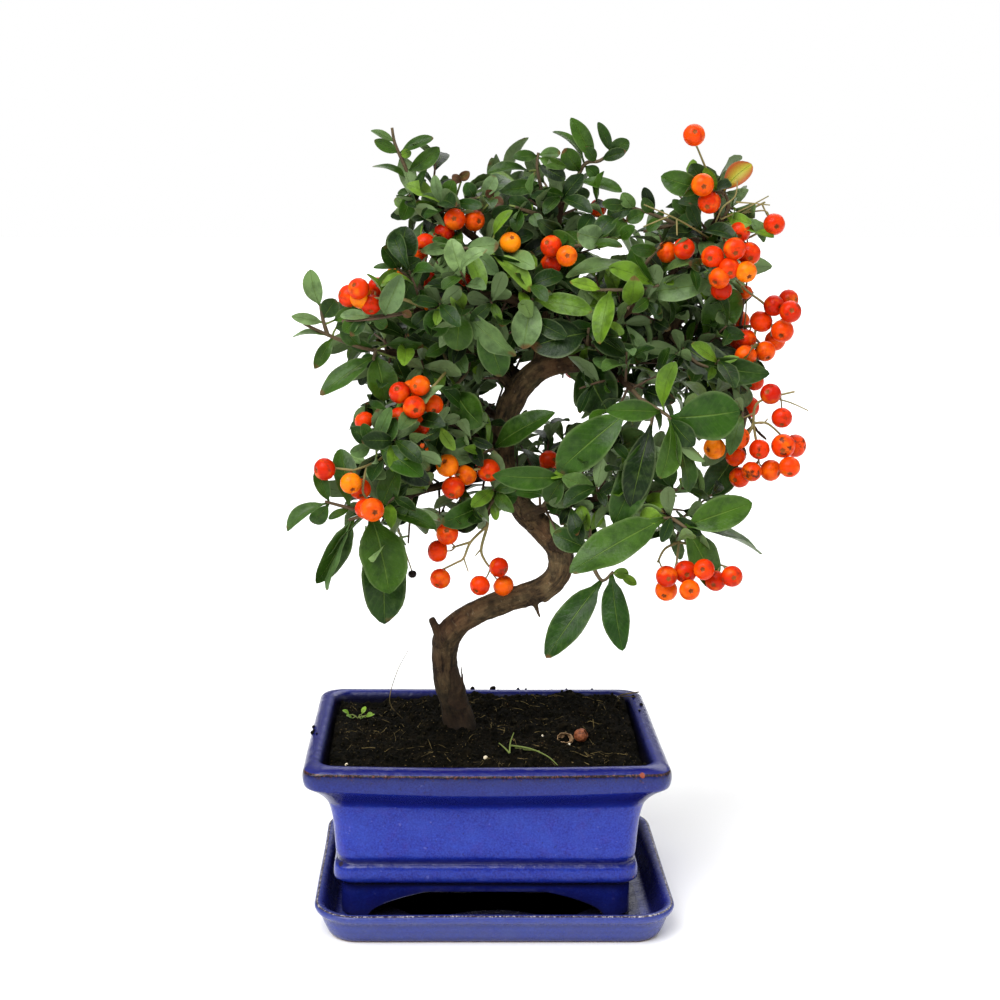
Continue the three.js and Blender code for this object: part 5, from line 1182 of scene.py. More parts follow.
# Twigs are (x, z, depth) paths, as the stems are. A leaf is base x, base z, tip x, tip z, its
# width as seen, how much farther its tip is than its base, and a letter for its tone: d dark
# (partly painted shade), p pale (partly a painted sheen), y yellow-green, Y bright, r reddish,
# b brown, u seen from below.
SPRAYS = {
    "leaf_spray_left_low": (
        [[(-47, 167, -24), (-50, 167, -28), (-53, 166, -31), (-58, 164.5, -33)],
         [(-50, 167, -28), (-57, 169.5, -32), (-68, 172.5, -36)]],
        [(-46, 167, -42.5, 132, 21, -14), (-45, 163, -42, 118.5, 19, -2, "d"),
         (-56, 165, -74, 137, 10, -4), (-52, 165, -70, 140, 7, 2), (-57, 163, -61, 152, 6, 4, "d"),
         (-57, 162, -65, 131.5, 4, 6, "p"), (-43, 168, -21, 160.5, 8, -8),
         (-44, 170, -36, 187, 10, -8), (-47, 168, -33, 180, 8, 4, "d"),
         (-68, 173, -72, 186, 6, -4), (-67, 172, -86, 162, 5, -2, "p"),
         (-66, 171, -74, 163, 7, 2), (-57, 169, -67, 165, 3, -4), (-58, 171, -61, 195, 10, 6)]),
    "leaf_spray_left_middle": (
        [[(-44, 196, -30), (-46, 196, -34), (-49, 196, -38)]],
        [(-43, 197, -25, 184, 11, -10), (-42, 193, -24, 180, 9, 2, "d"),
         (-47, 196, -57, 204, 7, -2), (-48, 195, -57, 194, 6, -6, "p"),
         (-46, 197, -37, 208, 8, 2, "d"), (-46, 198, -39, 213, 4, 6, "p"),
         (-46, 192, -45, 182, 8, -8, "u"), (-48, 197, -52, 206, 5, 4),
         (-44, 199, -30, 200, 9, 6, "d")]),
    "leaf_spray_center_low": (
        [[(4, 175, -6), (4, 174, -13), (1, 169, -16)]],
        [(3, 177, -19, 162.5, 11, -8), (-1, 166, -12, 161, 6, 0, "d"), (5, 173, 5, 164, 4, -4, "y"),
         (6, 178, 14, 175, 8, -4), (1, 165, -6, 164, 3, -2, "y")]),
    "leaf_spray_center": (
        [[(7.5, 196, 3), (3, 195, -6), (-1, 193.5, -10)]],
        [(3, 196, 28, 213, 10, -12), (0, 195, -19, 192, 8, -6, "p"), (0, 193, -9, 195, 4, -8, "y"),
         (-1, 194, -0.5, 212, 1.6, -2, "y"), (2, 197, -2, 206, 6, 4)]),
    "leaf_spray_left_inner": (
        [[(-6, 237, 6), (-8, 228, -4), (-13, 221, -14), (-17, 211, -16)]],
        [(-14, 220, -1, 206, 15, -8), (-10, 229, -28, 231, 9, -4, "d"),
         (-9, 232, -20, 241, 8, -6, "d"), (-14, 222, -17, 208, 8, 4, "d"),
         (-17, 210, -22, 190, 7, 4)]),
    "leaf_spray_left_tip": (
        [[(-42, 236, -10), (-54, 238.7, -16), (-66, 243.3, -20), (-72, 246, -22), (-76, 248, -23)],
         [(-66, 243.3, -20), (-68, 250, -22), (-69, 256, -24)],
         [(-46, 236.9, -12), (-47, 233, -18)]],
        [(-69, 248, -81, 252, 4, -2, "p"), (-65, 242, -81, 243, 3, -4, "p"),
         (-65, 241, -72.5, 229, 6, -2), (-69, 256, -73, 270, 8, -4, "p"),
         (-67, 250, -63, 258.5, 8, -2), (-64, 249, -53, 256, 5, -6), (-63, 246, -57, 248, 5, -2, "d"),
         (-49, 235, -69, 218, 8, -4), (-49, 232, -53, 222, 5, 2, "d"),
         (-44, 235, -42, 215.5, 13, -6), (-38, 234, -33, 221, 9, 2, "d"),
         (-52, 240, -60, 247, 7, -6), (-46, 240, -58, 242, 6, 2), (-42, 239, -26, 238.5, 6, -6)]),
    "leaf_spray_left_high_tip": (
        [[(-30, 253, -26), (-45, 251, -30), (-60, 249, -34)]],
        [(-47, 251, -61, 252, 4, -2, "p"), (-52, 249, -60, 245, 6, -2),
         (-43, 254, -36, 268, 9, -6, "p"), (-37, 253, -31, 265, 11, -6), (-47, 248, -41, 247, 5, -6),
         (-50, 250, -56, 243, 5, -4), (-36, 252, -26, 247, 7, 2, "d"),
         (-40, 252, -48, 268, 5, 4, "y")]),
    "leaf_spray_left_high_middle": (
        [[(-14, 256.5, -20), (-12, 254.5, -27), (-4, 251, -29)],
         [(-12, 254.5, -27), (-18, 254, -29), (-24, 254, -29)]],
        [(-9, 254, 14, 234, 13, -8, "p"), (-11, 253, -12, 236, 13, -2), (-16, 254, -24, 244, 11, -4),
         (-2, 250, 6, 225, 13, 6), (-20, 256, -28, 262, 6, -4), (-24, 254, -30, 246, 8, 4, "d"),
         (-7, 259, -14, 262, 7, -4, "y")]),
    "leaf_spray_left_crown": (
        [[(-20, 255, -22), (-26, 262, -22), (-34, 269, -25), (-37, 271, -26)]],
        [(-36, 271, -34, 288, 13, -2, "d"), (-37, 270, -43, 280, 9, -6),
         (-35, 270, -27, 275, 7, -6, "d"), (-35, 268, -23, 269, 6, 2, "d"),
         (-38, 269, -46, 263, 5, -4, "y"), (-37, 270, -47, 271, 3, 0)]),
    "leaf_spray_crown_left": (
        [[(8, 272, 0), (2, 277, -14), (-6, 279, -18), (-14, 279, -18)]],
        [(-13, 279, -27, 277, 5, -4, "p"), (-13, 280, -22, 283.5, 4, -2),
         (-14, 277, -16, 263, 13, -6, "p"), (-8, 277, -1, 261, 7, -10, "y"),
         (-9, 279, 6, 281, 8, -4, "p"), (-6, 276, 5, 268, 7, -6, "p"), (-12, 277, -20, 270, 8, 2, "d"),
         (1, 276, 18, 261, 6, -10, "y"), (2, 278, 14, 273, 6, -4, "d"), (12, 277, 21, 271, 7, -8, "p"),
         (3, 284, 10, 295, 4, -4, "y"), (6, 283, 12, 290, 6, -2, "y"), (6, 279, 20, 285, 7, 2, "d")]),
    "leaf_spray_top_left": (
        [[(-22, 294.5, 0), (-18, 297, -6), (-13, 298, -8), (-3, 300, -8)]],
        [(-20, 296, -26, 301, 7, -6, "p"), (-17, 297, -14, 307, 7, -4),
         (-18, 298, -21, 309.5, 5, -2, "p"), (-22, 295, -29, 298, 5, -4), (-13, 298, -1, 297, 5, -6),
         (-5, 300, -9, 306, 6, -2), (-1, 300, 4, 308.5, 6, -2, "p"), (-20, 294, -24, 285, 7, -2, "d"),
         (-26, 296, -22, 290, 6, -4, "d"), (-23, 292, -31, 291, 3, 0, "d")]),
    "leaf_spray_top_left_shoot": (
        [[(-28.5, 298.5, 2), (-31, 306, 0), (-33.5, 312.5, -2), (-37.5, 321.5, -4),
          (-38.7, 328, -5)]],
        [(-31, 311, -20, 320, 7, -4), (-34, 319, -22, 324, 3.5, -2), (-32, 307, -47, 312, 3.5, -3),
         (-35, 318, -46, 323, 5, -3), (-38, 322, -47.5, 327.5, 2.5, -1, "p"),
         (-35, 317, -31, 318, 4, -2, "y"), (-31, 305, -25, 306.5, 3, -2),
         (-31, 300, -37, 301.5, 3, -2, "p"), (-30, 301, -35, 291, 7, -5)]),
    "leaf_spray_top_center": (
        [[(28, 276, 6), (25, 290, 2), (22, 306, -3), (20.8, 312.5, -4), (21.3, 318, -4)],
         [(24.6, 292, 1.4), (18, 294, -8), (12, 296, -12)]],
        [(19.5, 317, 11, 315.5, 5, -3), (18, 310.5, 0.5, 310.5, 4.5, -2),
         (20, 304, 5.5, 302, 7, -5), (22, 306, 16, 304.5, 2, -1), (22, 313, 33, 307, 7, -3, "d"),
         (23, 316, 33, 312, 5, -5), (22, 317, 30, 317.5, 5, 0, "p"), (23, 300, 27, 301.5, 5, -5),
         (24, 303, 32, 301, 6, 2), (20, 295, 9, 299.5, 7, -4, "d"), (18, 291, 22, 288, 6, -5, "p"),
         (16, 293, 6, 291, 7, -3, "d"), (22, 292, 30, 296, 7, -3, "d"), (14, 294, 12, 286, 6, -3),
         (10, 297, 2, 292, 6, -2, "d")]),
    "leaf_spray_top": (
        [[(31, 298, 0), (36, 305, 0), (40.5, 313.5, 0), (46, 314.5, -2), (50, 317, -3),
          (57, 321.5, -5)]],
        [(44, 316, 34, 331, 7, -3), (50, 319, 45, 329.5, 4.5, -2), (49, 317, 58.5, 323, 7, -3, "d"),
         (47, 315, 57, 318.5, 5, -6, "d"), (45, 316, 40, 320, 5, -6), (38, 310, 32, 319, 8, -4),
         (39, 315, 28, 327.5, 2, 0), (41, 312, 46, 308, 6, -4), (38, 306, 56.5, 303.5, 5, -6),
         (36, 305, 38.5, 297.5, 10, -3, "d")]),
    "leaf_spray_crown_middle": (
        [[(28.3, 280, 5), (36, 280, -14), (42, 281, -20), (52, 284, -16)]],
        [(39, 282, 25, 283, 9, -6), (50, 280, 38, 284.5, 10, -8, "p"), (42, 279.5, 57, 281, 3, -4),
         (44, 284, 52, 292, 8, -2, "d"), (38, 284, 44, 293, 8, 2, "d"), (32, 284, 22, 291, 7, -4, "d"),
         (52, 283, 58, 291, 7, 0), (55, 283, 62, 288, 6, -3)]),
    "leaf_spray_crown_right": (
        [[(90, 280, -5.6), (78, 289, -12), (70, 292.5, -14), (60, 296, -16)],
         [(82, 286, -10), (86, 294, -9)],
         [(78, 289, -12), (65, 286, -10)]],
        [(71, 297, 64, 304, 5, -2, "d"), (69, 296, 65, 300, 5, -3), (76, 297, 70, 293, 6, -4),
         (86, 296, 77, 299, 5, -2), (80, 292, 88, 292, 6, -4), (62, 297, 56, 302, 6, -3, "p"),
         (58, 297, 48, 298, 5, -4), (66, 294, 58, 290, 6, -2), (72, 292, 66, 286, 5, -2),
         (60, 296, 50, 292, 8, 2, "d")]),
    "leaf_spray_top_right": (
        [[(93, 286.5, -7), (97, 290, -18), (100, 296, -21), (98, 302, -21)],
         [(98, 302, -21), (89, 303, -21)]],
        [(97, 303, 109, 313, 9, -3, "r"), (88, 301, 72.5, 308.5, 10, -4),
         (89, 305, 84, 313.5, 8, 0, "d"), (95, 303, 90, 312, 5, 2, "y"), (98, 302, 106, 301, 3, -2, "p"),
         (98, 289, 118, 283, 6, -6, "y"), (96, 291, 89, 283, 7, 2), (100, 292, 110, 289, 6, 0, "y")]),
    "leaf_spray_right_upper": (
        [[(66, 258.3, -8.5), (64, 262, -18), (58, 262, -22), (46, 262, -20)],
         [(64, 262, -18), (72, 264, -21)],
         [(64, 262, -18), (66, 272, -20), (72, 280, -20)],
         [(64, 262, -18), (59, 254, -20)]],
        [(72, 263, 50, 270, 8, -4, "y"), (72, 263, 61, 279, 9, -2), (64, 271, 33, 266, 6, -6, "p"),
         (66, 260, 93, 264, 11, -6, "p"), (58, 252, 62, 268, 9, -10, "y"),
         (52, 262, 48, 239, 9, -12, "y"), (46, 262, 35, 266, 4, -4, "Y"), (73, 281, 60, 279, 6, -4)]),
    "leaf_spray_center_upper": (
        [[(24.5, 257, 8), (22, 259, -8), (19, 258, -18)]],
        [(20, 257, 45, 254, 8, -10, "y"), (15, 257, 17, 238, 12, -8, "p"), (18, 260, 28, 268, 7, -2)]),
    "leaf_spray_center_front": (
        [[(40, 231.5, 4), (42, 236, -10), (43, 246, -20)]],
        [(43, 248, 19, 238, 17, -6, "d"), (40, 234, 53, 212, 21, -12, "d"),
         (45, 244, 60, 236, 9, -6, "d"), (46, 240, 42, 231, 4, -8, "y"),
         (46, 237, 68, 233, 9, -4, "d")]),
    "leaf_spray_right_middle": (
        [[(62, 220, -22), (66, 216, -28), (76, 210, -40), (78, 208, -44)],
         [(66, 216, -28), (60, 211, -30)],
         [(71, 213, -34), (70, 205, -34)]],
        [(74, 210, 51, 211, 9, -8), (76, 212, 78, 232, 4.5, -6, "y"), (79, 209.5, 108, 213, 20, -2),
         (77, 207, 76, 183, 10, -6), (78, 206, 85, 175, 9, 0), (70, 203, 52, 164, 15, -4),
         (74, 206, 61, 170, 9, 6, "d"), (79, 206, 94, 190, 6, 2, "u"), (61, 210, 31, 184, 17, 4),
         (78, 207, 88, 196, 10, 6, "d")]),
    "leaf_spray_right_low_end": (
        [[(78, 164, -32), (80, 165, -40), (86, 161, -44)], [(80, 165, -40), (76, 165.5, -41)]],
        [(86, 160, 115, 171, 14, -4), (85, 159, 97, 134, 15, 16), (75, 164, 38, 140, 16, -8),
         (77, 167, 66, 166, 9, 4, "y"), (87, 161, 119, 153, 6, 8, "p")]),
    "leaf_spray_right_low_side": (
        [[(71, 176, -28), (76, 177, -31), (81, 178, -31)]],
        [(80, 176, 76, 190, 7, 2), (81, 178, 71, 186, 6, 4)]),
    "leaf_spray_right_low_hanging": (
        [[(45, 148, -22), (48, 141, -26), (51, 138, -28), (55, 142, -30)],
         [(47, 143.3, -25), (45, 153, -26), (45, 161, -26)]],
        [(49, 137, 28, 103, 13, -4), (55, 142, 58, 107, 12, -6), (56, 143, 62, 141, 5, -4, "y"),
         (58, 141, 65.5, 136.5, 4, -2, "y"), (45, 151, 29, 158.5, 10, 2), (44, 160, 40, 170, 6, 2, "y"),
         (43, 160, 35, 166, 4, 2, "y"), (46, 160, 50, 169, 5, 0, "y")]),
    "leaf_spray_right_low_middle": (
        [[(24, 169.5, -6), (30, 178, -20), (34, 184, -26)], [(30, 178, -20), (42, 177, -16)]],
        [(33, 184, 2, 184, 11, -8), (46, 184, 32, 178, 9, -2, "d"), (33, 183, 27, 172, 9, 2, "d"),
         (28, 174, 36, 170, 6, -6), (42, 177, 38, 181, 7, 0, "y")]),
    "leaf_spray_right_dark": (
        [[(77, 243, 2), (80, 240, -9), (88, 232, -17), (96, 229, -21), (104, 224, -23)]],
        [(88, 232, 119, 229, 11, -6, "d"), (79, 240, 103, 222, 14, -8, "d"),
         (104, 224, 111, 213, 8, 2, "p")]),
    "leaf_spray_right_edge": (
        [[(90, 241.5, -2), (91, 243, -9), (94, 244, -12)]],
        [(90, 243, 104, 262, 15, -6), (95, 243, 108, 242, 6, 2)]),
    "leaf_spray_far_right_low": (
        [[(110, 211, -20), (108, 200, -10), (106, 193, -8)]],
        [(105, 193, 93, 175.5, 14, -6, "d"), (106, 196, 96, 190, 8, 4, "d")]),
}
# Sprays at the back: the end of the limb that each grows from, and the limb's point before it.
REAR_SPRAYS = {
    "leaf_spray_rear_left_high": ((-18, 254, 48), (-4, 244, 36)),
    "leaf_spray_rear_right_high": ((58, 262, 54), (48, 250, 40)),
    "leaf_spray_rear_crown": ((14, 290, 36), (20, 278, 24)),
    "leaf_spray_rear_right": ((84, 224, 40), (74, 232, 24)),
    "leaf_spray_rear_left": ((-28, 214, 48), (-14, 216, 36)),
    "leaf_spray_rear_low": ((44, 190, 46), (32, 190, 34)),
    "leaf_spray_rear_right_edge": ((90, 260, 38), (82, 250, 22)),
    "leaf_spray_rear_left_edge": ((-38, 242, 34), (-22, 242, 22)),
}
REAR_TWIG = 17
REAR_LEAVES = 7
REAR_LEAF_LENGTH = 24
REAR_SMALL_LEAVES = 14
# How a leaf is folded along its rib, arched, curled at its tip, twisted and waved, and how
# soon it widens and how bluntly it ends.
LEAF_BENDS = [
    (16, 0.07, 0.00, 0, 0.004, 0.75, 0.58), (22, 0.10, -0.05, 0, 0.006, 0.80, 0.60),
    (11, 0.06, 0.02, 6, 0.014, 0.70, 0.66), (18, 0.09, -0.04, 14, 0.008, 0.80, 0.62),
    (12, 0.08, 0.00, -16, 0.016, 0.75, 0.66), (26, 0.13, -0.10, 0, 0.004, 0.85, 0.60),
    (14, 0.08, -0.02, -8, 0.012, 0.75, 0.75), (10, 0.06, 0.03, 8, 0.024, 0.70, 0.70),
]


def leaf_shape(bend, stations=12, sides=(-1, -0.5, 0, 0.5, 1)):
    """A leaf 1 long and 1 wide, from its stalk at the origin along X, its face up. Its face
    is mapped from 0 to 1 along its length, and its underside from 2 to 3."""
    fold, arch, curl, twist, wave, widening, ending = bend
    widest = widening / (widening + ending)
    peak = widest ** widening * (1 - widest) ** ending
    last = len(sides) - 1
    bm = bmesh.new()
    rows = []
    for k in range(stations):
        t = 0.02 + 0.95 * (k / (stations - 1)) ** 0.9 if k else 0.0
        u = max(0.0, (t - 0.09) / 0.91)
        half = max(0.045, 0.5 * u ** widening * (1 - u) ** ending / peak)
        middle = arch * 4 * t * (1 - t) + curl * t ** 3
        row = []
        for side in sides:
            z = middle + abs(side) * half * 0.42 * math.tan(math.radians(fold))
            z += math.sin(t * 15 + side * 2) * wave * abs(side) * min(1.0, u * 5)
            z += math.sin(math.radians(twist) * (t - 0.4)) * side * half * 1.6
            row.append(Vector((t, side * half, z)))
        thick = 0.012 if u > 0 else 0.02
        under = [row[i] - Vector((0, 0, thick + (0.018 * (1.1 - t) if sides[i] == 0 else 0)))
                 for i in range(1, last)]
        rows.append(([bm.verts.new(point) for point in row + under], t))
    tip = bm.verts.new((1.0, 0.0, arch * 0.02 + curl))
    below = (0, *range(last + 1, 2 * last), last)
    layer = bm.loops.layers.uv.new("UVMap")

    def face(corners, places, offset):
        """Adds a face, and maps it: along the leaf plus an offset, and across it."""
        made = bm.faces.new(corners)
        made.smooth = True
        for loop, (along, side) in zip(made.loops, places):
            loop[layer].uv = (along + offset, side / last)

    for (near, t0), (far, t1) in zip(rows, rows[1:]):
        for i in range(last):
            face((near[i], far[i], far[i + 1], near[i + 1]),
                 ((t0, i), (t1, i), (t1, i + 1), (t0, i + 1)), 0)
            a, b = below[i], below[i + 1]
            face((near[a], near[b], far[b], far[a]),
                 ((t0, i), (t0, i + 1), (t1, i + 1), (t1, i)), 2)
    final, t = rows[-1]
    for i in range(last):
        face((final[i], tip, final[i + 1]), ((t, i), (1, i + 0.5), (t, i + 1)), 0)
        face((final[below[i]], final[below[i + 1]], tip), ((t, i), (t, i + 1), (1, i + 0.5)), 2)
    around = [*range(last + 1), *reversed(below[1:-1])]
    face([rows[0][0][i] for i in around], [(0, last / 2)] * len(around), 0)
    rims = [row[i] for row, _ in rows for i in (0, last)]
    for edge in bm.edges:
        if all(vert in rims or vert is tip for vert in edge.verts):
            edge.smooth = False
    return mesh_from(bm, "leaf")


leaf = Finish("leaf_skin", (7, 22, 2), Specular_IOR_Level=0.15, Coat_Weight=0.03,
              Coat_Roughness=0.2)
uv = leaf.put("ShaderNodeUVMap", uv_map="UVMap").outputs[0]
parts = leaf.put("ShaderNodeSeparateXYZ", {0: uv}).outputs
below = leaf.sum("GREATER_THAN", parts[0], 1.5)
along = leaf.sum("SUBTRACT", parts[0], leaf.sum("MULTIPLY", below, 2.0))
aside = leaf.sum("MULTIPLY", leaf.sum("ABSOLUTE", leaf.sum("SUBTRACT", parts[1], 0.5)), 2.0)
tone, warm = leaf.painted("tone"), leaf.painted("warm")
leaf.wash(leaf.rise(tone, 0.0, 0.5), (34, 68, 10))
# The palest tone is grey-green, partly a painted sheen.
leaf.wash(leaf.rise(tone, 0.55, 1.0), (122, 148, 98))
yellowed = leaf.over(tone, paint(58, 100, 16), paint(150, 188, 50))
leaf.wash(leaf.rise(warm, 0.0, 1.0), yellowed)
# Patches of painted shade, dark, and of painted highlight, light, in clouds across each leaf.
leaf.dapple((14, 34, 8), 0.5, 7, 0.42, 0.62, 4, 0.6)
leaf.dapple((94, 122, 58), 0.2, 4, 0.52, 0.74, 4)
reddened = leaf.over(leaf.rise(aside, 0.1, 0.9), paint(150, 146, 42), paint(146, 58, 26))
leaf.wash(leaf.rise(warm, 1.1, 1.5), reddened)
dead = leaf.over(leaf.cloud(2, 3), paint(30, 18, 12), paint(104, 70, 44))
leaf.wash(leaf.rise(warm, 1.9, 2.3), dead)
rib = leaf.fall(leaf.sum("DIVIDE", aside, leaf.scaled(along, -0.06, 0.085)), 0.3, 1.0)
slant = leaf.sum("SUBTRACT", leaf.sum("MULTIPLY", along, 11.0), leaf.sum("MULTIPLY", aside, 2.6))
vein = leaf.sum("ABSOLUTE", leaf.sum("SUBTRACT", leaf.sum("FRACT", slant), 0.5))
vein = leaf.fall(vein, 0.02, 0.12)
leaf.wash(vein, (110, 136, 82), 0.04)
leaf.wash(leaf.rise(aside, 0.84, 1.0), (140, 158, 104), 0.22)
leaf.wash(rib, (128, 158, 66), 0.26)
leaf.wash(below, (118, 140, 92), 0.6)
brown_tip = leaf.rise(leaf.sum("ADD", along, leaf.cloud(9)), 1.52, 1.62)
leaf.wash(brown_tip, (96, 62, 34), 0.8)
gloss = leaf.scaled(leaf.cloud(3, 3), 0.25, 0.26)
relief = leaf.sum("SUBTRACT", leaf.cloud(1.4, 3), leaf.sum("MULTIPLY", vein, 0.1))
leaf_material = leaf.set(gloss, leaf.sum("SUBTRACT", relief, rib), 0.25)

twig_finish = Finish("twig_bark", (44, 32, 24), Roughness=0.75)
twig_finish.wash(twig_finish.cloud(3, 3), (104, 80, 54))
twig_finish.wash(twig_finish.rise(twig_finish.painted("tone"), 0.2, 0.8), (98, 112, 46))
twig_material = twig_finish.set(height=twig_finish.cloud(0.8, 3), depth=0.2)

leaf_shapes = shapes("leaf_shapes", [leaf_shape(bend) for bend in LEAF_BENDS])
# Tone from dark to pale, and warmth from green over yellow and red to brown. The dark tone is partly
# painted shade and the pale one partly a painted sheen.
LEAF_TONES = {"": (0.44, 0.06), "d": (0.18, 0.0), "p": (0.82, 0.02), "y": (0.55, 0.6),
              "Y": (0.8, 1.0), "r": (0.6, 1.5), "b": (0.3, 2.3), "u": (0.6, 0.1)}
# Which of the shapes large and small leaves are picked from.
LARGE_FROM = 26
LARGE_KINDS = (2, 6, 4, 7)
SMALL_KINDS = (0, 1, 3, 4, 5, 6, 0, 1)
draw = random.Random(11)
shown_leaves = []


def add_leaf(spray, root, base, tip, normal, width, letter=""):
    """Adds a leaf from base to tip, and a thin neck to it from its root on the twig."""
    along = tip - base
    length = along.length
    along.normalize()
    normal = (normal - along * normal.dot(along)).normalized()
    normal = Matrix.Rotation(draw.uniform(-0.3, 0.3), 3, along) @ normal
    if letter == "u":
        normal = -normal
    across = normal.cross(along)
    turn = Matrix((along, across, normal)).transposed().to_euler()
    if (base - root).length > 0.8:
        spray.twig([root, root.lerp(base, 0.5) + normal * 0.3, base + along * 0.6], 0.55, 0.4, 0.8)
    tone, warm = LEAF_TONES[letter]
    kind = draw.choice(LARGE_KINDS if length > LARGE_FROM else SMALL_KINDS)
    spray.add(base, grows=True, kind=kind, size=Vector((length, width, length)) * MM,
              tone=tone + draw.uniform(-0.2, 0.14), warm=max(0, warm + draw.uniform(-0.06, 0.1)),
              turn=Vector(turn))
    shown_leaves.append((base, tip, width))


def front_normal(base, tip, width, true_width, roll):
    """A leaf that shows narrower than leaves are is turned about its rib, its face upwards."""
    along = (tip - base).normalized()
    to_eye = EYE - base
    to_eye = (to_eye - along * to_eye.dot(along)).normalized()
    angle = math.acos(min(1.0, width / true_width))
    turned = [Matrix.Rotation(side * angle, 3, along) @ to_eye for side in (1, -1)]
    return Matrix.Rotation(roll, 3, along) @ max(turned, key=lambda way: way.z)


def front_leaf(twigs, x0, z0, x1, z1, width, farther, shift, roll):
    """Where a leaf of a front spray is: its root, base, tip, face and width."""
    near = nearest_on(twigs, x0, z0)
    root, neck = seen(*near), seen(x0, z0, near[2])
    tip = seen(x1, z1, near[2] + farther + shift)
    onwards = (neck - root).dot((tip - neck).normalized())
    reach = (neck - root).length
    base = neck if reach > NECK_FROM and onwards > reach / 2 else root
    true_width = max(width, SLIMMEST * (tip - base).length)
    return root, base, tip, front_normal(base, tip, width, true_width, roll), true_width


def finish_spray(name, spray, nodes=(), store=leaf_shapes):
    """Makes a spray a piece, in the place of these nodes if there are any."""
    piece = grown(spray.piece(), shoot_tree, {
        "Carried Shapes": store, "Twig Sides": 7, "Twig Step": 0.0015, "Turn Spread": 0.07,
        "Size Spread": 0.04, "Seed": len(name), "Twig Finish": twig_material,
        "Carried Finish": leaf_material})
    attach(piece, "root")
    for node in nodes:
        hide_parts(node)


for name, (twigs, leaves) in SPRAYS.items():
    spray = Shoot(name + "_grown")
    for twig in twigs:
        spray.twig([seen(*point) for point in twig], 1.0, 0.6, 0.25)
    surface = surface_of(name)
    for x0, z0, x1, z1, width, farther, *letter in leaves:

        def placed(shift, roll):
            """The leaf where it would be with this shift and roll."""
            return front_leaf(twigs, x0, z0, x1, z1, width, farther, shift, roll)

        def off_node(trial):
            """How far the leaf would stand off its solid."""
            _, base, tip, normal, wide = placed(*trial)
            across = normal.cross((tip - base).normalized()) * wide * 0.3
            middle = base.lerp(tip, 0.5)
            return away_from(surface, [base.lerp(tip, 0.85), middle + across, middle - across])

        trials = [(shift, roll) for shift in LEAF_SHIFTS for roll in LEAF_ROLLS]
        root, base, tip, normal, wide = placed(*min(trials, key=off_node))
        add_leaf(spray, root, base, tip, normal, wide, "".join(letter))
    finish_spray(name, spray, [name])


def spiral_leaf(first, last, share, angle, length, lean):
    """A leaf that stands off a twig from first to last, turned round it by angle."""
    root = first.lerp(last, share)
    along = (last - first).normalized()
    outward = Vector((0, 0, 1)).cross(along).normalized()
    outward = Matrix.Rotation(angle, 3, along) @ outward
    heading = (along * lean + outward).normalized()
    normal = heading.cross(outward.cross(along)).normalized()
    if normal.z < 0:
        normal.negate()
    return root, root + heading * length, normal


for name, (end, before) in REAR_SPRAYS.items():
    heading = Vector(end) - Vector(before)
    ahead = Vector(end) + heading.normalized() * REAR_TWIG + Vector((0, 2, 0))
    first, last = seen(*end), seen(*ahead)
    spray = Shoot(name + "_grown")
    spray.twig([first, first.lerp(last, 0.5) + Vector((0, 0, 0.6)), last], 1.1, 0.6, 0.2)
    surface = surface_of(name)
    for number in range(REAR_LEAVES):
        share = 0.25 + 0.68 * number / (REAR_LEAVES - 1)
        length = REAR_LEAF_LENGTH * (0.85 + 0.3 * ((number * 7) % 5) / 4)

        def placed(shift):
            """The leaf where it would be, turned round its twig by this shift."""
            turn = number * GOLDEN_TURN + shift * 0.12
            return spiral_leaf(first, last, share, turn, length, 0.75)

        def off_node(shift):
            """How far the leaf would stand off its solid."""
            root, tip, _ = placed(shift)
            return away_from(surface, [root.lerp(tip, 0.5), root.lerp(tip, 0.85)])

        root, tip, normal = placed(min(LEAF_SHIFTS, key=off_node))
        add_leaf(spray, root, root, tip, normal, 0.42 * length, draw.choice(["", "d", "", "p"]))
    for number in range(REAR_SMALL_LEAVES):
        share = -0.1 + 1.1 * number / (REAR_SMALL_LEAVES - 1)
        root, tip, normal = spiral_leaf(
            first, last, share, 1.2 + number * GOLDEN_TURN, draw.uniform(11, 18), 0.5)
        add_leaf(spray, root, root, tip, normal, draw.uniform(5, 7), draw.choice(["", "y", "d"]))
    finish_spray(name, spray, [name])

# Short twigs with small leaves sit close along the limbs and fill the crown, only where a leaf
# in front hides that place or nearly does, so the wider gaps that show light stay open. They
# start at a height, and on the trunk only on the last points of its line.
CROWN_FROM = 160
TRUNK_END = 30
FIRST_TWIG = 6.0
TWIG_EVERY = 2.6
TWIG_LEAVES = 5
fronts, reaches = KDTree(len(shown_leaves) * 3), []
for base, tip, width in shown_leaves:
    for share in (0.2, 0.5, 0.8):
        fronts.insert(as_shown(base.lerp(tip, share)), len(reaches))
        reaches.append(width * 0.45 + GAP_FILLED)
fronts.balance()
# The crown is closed here: x, z, half width and half height, as seen from the front.
DENSE_ZONES = [(62, 253, 30, 22), (10, 270, 42, 18), (-22, 245, 34, 16), (68, 205, 34, 22),
               (26, 200, 12, 8)]


def hidden(point):
    """Whether a leaf in front hides this point from the front, or nearly does, or the crown is
    closed there."""
    shown = as_shown(point)
    for x, z, wide, high in DENSE_ZONES:
        if math.hypot((shown.x - x) / wide, (shown.z - z) / high) < 1:
            return True
    near = fronts.find_n(shown, 6)
    return any(distance < reaches[which] for _, which, distance in near)


